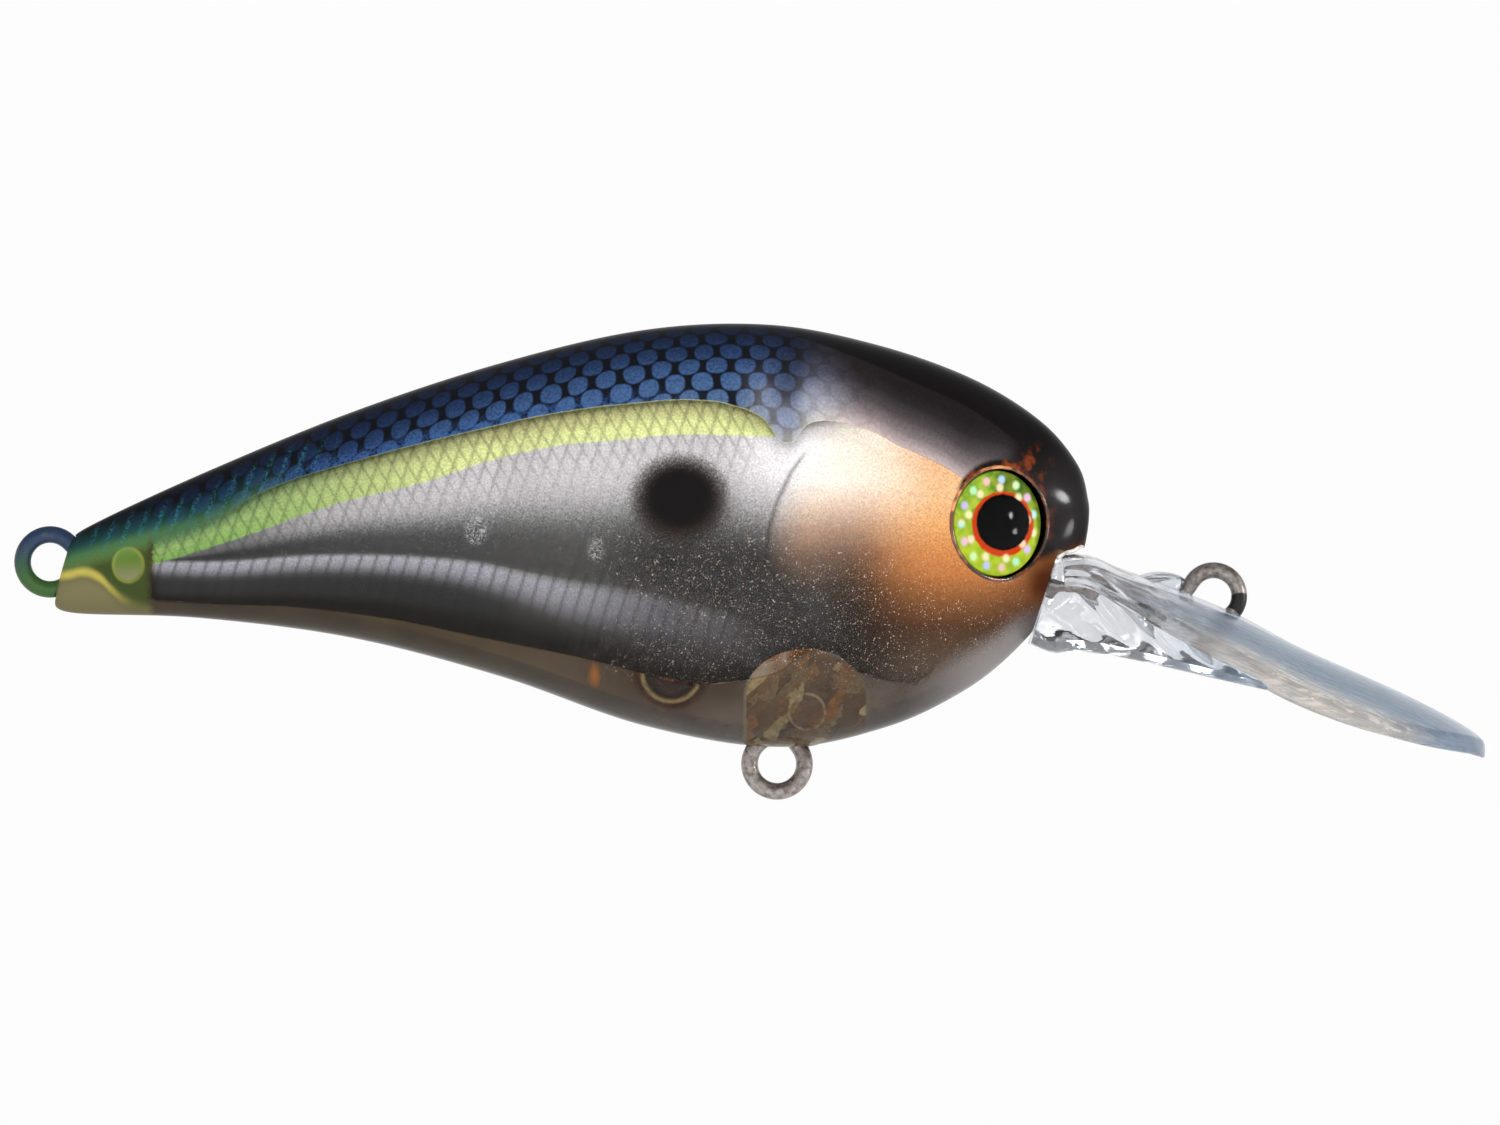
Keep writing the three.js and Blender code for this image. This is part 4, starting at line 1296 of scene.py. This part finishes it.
def tie_route():
    turns = np.radians(np.linspace(-55, 152, 10))
    loop = [(TIE.x + TIE_LOOP * math.cos(turn), TIE.y + TIE_LOOP * math.sin(turn)) for turn in turns]
    flat = [
        (64.95, -4.35), *loop, (63.35, -1.75), (62.5, -2.25), (60.6, -2.0), (57.4, -1.25), (54.2, -1.35),
    ]
    along = spline(flat, np.linspace(0, 1, 400))
    points = np.stack([along[:, 0], np.zeros(len(along)), along[:, 1]], axis=1)
    return resample(points, 260)


def build_wire(name, node, route, radius, material):
    thing = wire(name, route, radius, [material])
    shade(thing, 50)
    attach(thing, "body")
    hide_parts(node)


# ---------------------------------------------------------------- eyes


def round_on_eye(name, side, profile, material, sides=96):
    """A turned piece on the eye's axis, from (radius, height) points, with its face as uv."""
    centre, axis = eye_frame(side)
    up = Vector((0, 0, 1))
    across = up.cross(axis) * -side
    turns = np.linspace(0, 2 * math.pi, sides, endpoint=False)
    rings, uv = [], []
    for radius, height in profile:
        rings.append([
            list(centre + axis * height + (across * math.cos(turn) + up * math.sin(turn)) * radius)
            for turn in turns
        ])
        uv.append([(radius * math.cos(turn), radius * math.sin(turn)) for turn in turns])
    thing = closed_tube(name, np.array(rings), [material], np.array(uv))
    shade(thing)
    return thing


def build_eye(word, side, print_material, clear_material):
    face = DISC_BASE + DISC_THICKNESS
    rim = 0.05
    disc_profile = [
        (0.01, DISC_BASE), (EYE_RADIUS, DISC_BASE), (EYE_RADIUS, face - rim), (EYE_RADIUS - rim, face),
        (2.0, face), (1.0, face), (0.01, face),
    ]
    disc = round_on_eye(f"eye_print_{word}", side, disc_profile, print_material)
    arc_radius = (EYE_RADIUS**2 + DOME_HEIGHT**2) / (2 * DOME_HEIGHT)
    spread = math.asin(EYE_RADIUS / arc_radius)
    dome_profile = [(0.01, DOME_BASE), (EYE_RADIUS - 0.02, DOME_BASE)]
    for angle in np.linspace(spread, 0.002, 24):
        height = DOME_BASE + DOME_HEIGHT - arc_radius * (1 - math.cos(angle))
        dome_profile.append((arc_radius * math.sin(angle), max(height, DOME_BASE + 0.01)))
    dome = round_on_eye(f"eye_dome_glass_{word}", side, dome_profile, clear_material)
    for thing, node, slot_name in ((disc, "eye_disc", "eye_print"), (dome, "eye_dome", "eye_dome")):
        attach(thing, "body")
        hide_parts(f"{node}_{word}")


def lacquer_amber():
    s = Shader("lacquer_bead")
    x, _, z, place = s.body_place()
    pooled = s.noise(place, 1.2, 2.0)
    dark = s.mix(s.fade(pooled, 0.4, 0.65), rgb(20, 9, 5), rgb(104, 44, 12))
    copper = s.mix(s.fade(pooled, 0.4, 0.65), rgb(90, 46, 22), rgb(196, 130, 80))
    behind = s.fade(s.minus(x, s.times(z, 0.6)), 49.4, 51.4, 1.0, 0.0)
    surface = s.principled(
        Base_Color=s.mix(behind, dark, copper),
        Roughness=s.vary(pooled, 0.06, 0.16),
        Coat_Weight=0.6,
        Coat_Roughness=0.03,
    )
    return s.done(surface)


def build_eye_bead(word, side, material):
    """The ridge of lacquer that stands round the eye, laid on the skin."""
    centre, axis = eye_frame(side)
    up = Vector((0, 0, 1))
    across = up.cross(axis) * -side
    reach = EYE_RADIUS + 0.2
    tube = 0.1
    sides = 12
    turns = np.linspace(0, 2 * math.pi, 72, endpoint=False)
    route = np.array(centre) + reach * (np.outer(np.cos(turns), across) + np.outer(np.sin(turns), up))
    for _ in range(6):
        short = flank_width(route[:, 0], route[:, 2]) - np.abs(route[:, 1])
        route += 0.8 * short[:, None] * np.array(axis)
    outward = route - np.array(centre)
    outward /= np.linalg.norm(outward, axis=1, keepdims=True)
    rings = [
        route + tube * (math.cos(turn) * outward + math.sin(turn) * np.array(axis))
        for turn in np.linspace(0, 2 * math.pi, sides, endpoint=False)
    ]
    points = np.stack(rings, axis=1)
    closed = np.concatenate([points, points[:1]])
    count = len(points)
    faces = [
        tuple(index % (count * sides) for index in face)
        for face in grid_faces(len(closed), sides, wrap=True)
    ]
    bead = make_object(f"eye_bead_{word}", points.reshape(-1, 3), faces, [material])
    recalculate(bead)
    shade(bead, 60)
    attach(bead, "body")


# ---------------------------------------------------------------- diving lip

LIP_RIDGE = [
    (55.2, 0.1), (57.7, 0.45), (59.8, -0.34), (63.2, -1.6), (66.5, -3.0), (69.9, -4.8), (75.5, -7.3),
    (78.9, -9.06), (LIP_TIP, -10.1),
]
LIP_KEEL = [(54.4, -4.5), (55.9, -5.06), (57.2, -5.0), (59.8, -5.34), (64.3, -6.36), (68, -7.2)]


def smooth_height(outline, x):
    dense = spline(outline, np.linspace(0, 1, 400))
    return np.interp(x, dense[:, 0], dense[:, 1])


def blade_half_width(x):
    root = 3.6
    parallel = root + (LIP_HALF_WIDTH - root) * smoothstep(x, 52, 66)
    past = np.clip((x - 69) / (LIP_TIP - 69), 0, 1)
    return parallel * np.sqrt(np.clip(1 - past**2.6, 0, 1))


def build_blade(materials):
    """The arched plate, its edges rounded over."""
    columns = 60
    start = SLOT_TOP.x + 0.3
    x = start + (LIP_TIP - 0.02 - start) * np.sin(np.linspace(0, math.pi / 2, 110))
    share = np.sin(np.linspace(-math.pi / 2, math.pi / 2, columns))
    half_width = blade_half_width(x)
    y = half_width[:, None] * share[None, :]
    ridge = smooth_height(LIP_RIDGE, x)
    middle = ridge[:, None] - LIP_RISE * (y / LIP_HALF_WIDTH) ** 2 - LIP_THICKNESS / 2
    from_edge = np.minimum(half_width[:, None] * (1 - np.abs(share[None, :])), LIP_TIP - x[:, None])
    round_over = np.sqrt(np.clip(1 - (1 - np.clip(from_edge / 0.35, 0, 1)) ** 2, 0.12, 1))
    half = LIP_THICKNESS / 2 * round_over
    x_grid = np.broadcast_to(x[:, None], y.shape)
    top = np.stack([x_grid, y, middle + half], axis=-1)
    under = np.stack([x_grid, y, middle - half], axis=-1)[:, ::-1]
    return closed_tube("diving_lip_glass", np.concatenate([top, under], axis=1), materials)


def build_root(materials):
    """The wedge under the blade's root, its sides hollowed and leaning in towards the keel."""
    x = np.linspace(SLOT_TOP.x - 2.2, 68, 110)
    share = np.clip((x - SLOT_TOP.x) / (68 - SLOT_TOP.x), 0, 1)
    half_width = 3.3 + (1.6 - 3.3) * share
    top = smooth_height(LIP_RIDGE, x) - 0.35
    keel = smooth_height(LIP_KEEL, np.minimum(x, 67.9))
    levels = np.concatenate([np.linspace(1, 0.12, 26), [0.04, 0.0]])
    hollowed = 1 - 0.1 * np.sin(np.pi * levels)
    hollowed[-2:] = (0.82, 0.62)
    dents = 0.16 * np.sin(1.9 * x[:, None] + 5.0 * levels) * np.sin(9.0 * levels + 0.8 * x[:, None])
    dents = dents * np.sin(np.pi * np.clip(levels, 0, 1))
    side = half_width[:, None] * hollowed + dents
    height = keel[:, None] + (top - keel)[:, None] * levels
    x_grid = np.broadcast_to(x[:, None], side.shape)
    right = np.stack([x_grid, -side, height], axis=-1)
    left = np.stack([x_grid, side, height], axis=-1)[:, ::-1]
    return closed_tube("root", np.concatenate([right, left], axis=1), materials)


def glue_bead(materials):
    """The raised bump where the line tie's shank dips into the blade."""
    return ellipsoid("bead", (62.0, 0.0, -1.15), (1.5, 1.1, 0.62), 32, 16, 0.02, materials)


def build_lip(material):
    lip = build_blade([material])
    window = slab("window", [
        (SLOT_TOP.x, SLOT_TOP.y),
        (SLOT_TOP.x + 1.3, SLOT_TOP.y + 0.45), (SLOT_TOP.x + 2.4, SLOT_TOP.y + 0.65),
        (90, 2), (90, -20), (SLOT_FOOT.x - 0.9, -20), (SLOT_FOOT.x, SLOT_FOOT.y),
    ], 9, [material])
    carve(lip, [("UNION", build_root([material])), ("UNION", glue_bead([material])), ("INTERSECT", window)])
    shade(lip, 28)
    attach(lip, "body")
    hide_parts("diving_lip")


def build_glue(material):
    """The milky fillet of glue between the head and the lip's top, from flank to flank."""
    line = [(56.2, 0.22), (56.7, 0.52), (57.1, 0.62), (57.5, 0.84)]
    flank = [(x, float(flank_width(x, z)) + 0.02, z) for x, z in line]
    right = [(x, -y, z) for x, y, z in flank]
    path = [*right, (57.72, 0.0, 0.9), *flank[::-1]]
    along = np.linspace(0, 1, 80)
    seam = wire("lip_glue", spline(path, along), 0.11, [material], 12)
    shade(seam, 60)
    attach(seam, "body")


def milky_glue():
    s = Shader("milky_glue")
    *_, place = s.body_place()
    lumps = s.noise(place, 2.5, 2.0)
    surface = s.principled(
        Base_Color=s.mix(s.fade(lumps, 0.35, 0.65), rgb(150, 144, 136), rgb(214, 210, 202)),
        Roughness=0.25,
        Normal=s.bump(lumps, 0.6, 0.0001),
    )
    return s.done(surface)


# ---------------------------------------------------------------- the studio

VIEW_WIDTH = 0.084375
VIEW_CENTRE = Vector((-0.02607, 0.0, 0.00188))
FLOOR_Z = -0.06
FLOOR_REACH = 0.4
LENS = 200
SENSOR_WIDTH = 36

# Name, place, width and height, watts, and whether glossy pieces mirror it.
LAMPS = (
    ("front", (-0.03, -0.75, 0.16), (0.50, 0.30), 4.4, False),
    ("key", (0.06, -0.40, 0.42), (0.20, 0.12), 1.2, False),
    ("back", (-0.20, 0.60, 0.30), (0.40, 0.30), 3.0, False),
    ("spark", (0.57, -0.16, 0.09), (0.06, 0.06), 0.7, True),
    ("low_spark", (0.59, -0.11, -0.07), (0.07, 0.07), 0.35, True),
)


def build_floor():
    s = Shader("pale_floor")
    place = s.node("ShaderNodeTexCoord").outputs["Object"]
    tone = s.vary(s.noise(place, 30.0, 3.0), 0.93, 0.95)
    colour = s.vector(tone, tone, tone)
    s.done(s.principled(Base_Color=colour, Roughness=0.9, Specular_IOR_Level=0.1))
    mesh = bpy.data.meshes.new("floor")
    turns = np.linspace(0, 2 * math.pi, 96, endpoint=False)
    rim = [(FLOOR_REACH * math.cos(turn), FLOOR_REACH * math.sin(turn), FLOOR_Z) for turn in turns]
    mesh.from_pydata(rim, [], [tuple(range(len(rim)))])
    mesh.materials.append(s.material)
    floor = bpy.data.objects.new("floor", mesh)
    bpy.context.scene.collection.objects.link(floor)


def build_tent():
    """The surround: white from below and level, grey from above."""
    world = bpy.data.worlds.new("tent")
    world.use_nodes = True
    bpy.context.scene.world = world
    tree = world.node_tree
    background = tree.nodes["Background"]
    direction = tree.nodes.new("ShaderNodeTexCoord")
    split = tree.nodes.new("ShaderNodeSeparateXYZ")
    tree.links.new(direction.outputs["Generated"], split.inputs[0])
    ramp = tree.nodes.new("ShaderNodeValToRGB")
    tree.links.new(split.outputs["Z"], ramp.inputs[0])
    ramp.color_ramp.elements[0].position = 0.22
    ramp.color_ramp.elements[0].color = (0.98, 0.98, 0.98, 1)
    ramp.color_ramp.elements[1].position = 0.6
    ramp.color_ramp.elements[1].color = (0.28, 0.28, 0.29, 1)
    tree.links.new(ramp.outputs[0], background.inputs[0])
    background.inputs[1].default_value = 1.0


def build_lamps():
    """Soft oval lamps; only the two sparks show as highlights."""
    for name, place, size, power, mirrored in LAMPS:
        light = bpy.data.lights.new(name, "AREA")
        light.shape = "ELLIPSE"
        light.size, light.size_y = size
        light.energy = power
        lamp = bpy.data.objects.new(name, light)
        lamp.location = place
        lamp.visible_glossy = mirrored
        lamp.rotation_euler = (VIEW_CENTRE - Vector(place)).to_track_quat("-Z", "Y").to_euler()
        bpy.context.scene.collection.objects.link(lamp)


def build_camera():
    camera = bpy.data.cameras.new("camera")
    camera.lens = LENS
    camera.sensor_width = SENSOR_WIDTH
    camera.clip_start = 0.01
    view = bpy.data.objects.new("camera", camera)
    distance = VIEW_WIDTH * LENS / SENSOR_WIDTH
    view.location = VIEW_CENTRE - Vector((0, distance, 0))
    view.rotation_euler = (math.pi / 2, 0, 0)
    bpy.context.scene.collection.objects.link(view)
    bpy.context.scene.camera = view
    bpy.context.scene.view_settings.view_transform = "Standard"


# ---------------------------------------------------------------- assembly


def build():
    shell_looks = [shell_material(), inside_material()]
    foil_look = foil_material()
    print_look = holographic_print()
    dome_look = dome_material()
    bead_look = lacquer_amber()
    for word, side in (("right", -1), ("left", 1)):
        build_shell(word, side, shell_looks)
        build_foil(word, side, foil_look)
        build_eye(word, side, print_look, dome_look)
        build_eye_bead(word, side, bead_look)
    build_lip(polycarbonate())
    build_glue(milky_glue())
    build_inside(amber_insert(), clear_post())

    belly_steel = steel_wire("belly_wire", BELLY_EYE, 212, 236)
    tail_steel = steel_wire("tail_wire", TAIL_EYE, 174, 190, painted=True)
    tie_steel = steel_wire("tie_wire", TIE, -42, 0)
    build_wire("belly_eye", "belly_hanger", hanger_route(BELLY_EYE, BELLY_POST), WIRE_RADIUS, belly_steel)
    build_wire("tail_eye", "tail_hanger", hanger_route(TAIL_EYE, TAIL_POST), WIRE_RADIUS, tail_steel)
    build_wire("tie_eye", "line_tie", tie_route(), TIE_RADIUS, tie_steel)

    brass = polished_metal("brass", rgb(214, 170, 92), rgb(150, 108, 52), 0.2)
    steel = polished_metal("ball_steel", rgb(196, 192, 188), rgb(120, 116, 112), 0.15)
    tungsten = polished_metal("ballast", rgb(120, 116, 108), rgb(70, 66, 60), 0.4)
    ball("brass_weight", "weight_ball", WEIGHT, WEIGHT_RADIUS, brass)
    ball("front_rattle", "rattle_ball_front", FRONT_RATTLE, RATTLE_RADIUS, steel)
    ball("rear_rattle", "rattle_ball_rear", REAR_RATTLE, RATTLE_RADIUS, steel)
    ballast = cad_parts["ballast_weight"]
    ballast.data.materials.clear()
    ballast.data.materials.append(tungsten)


build()
build_floor()
build_tent()
build_lamps()
build_camera()
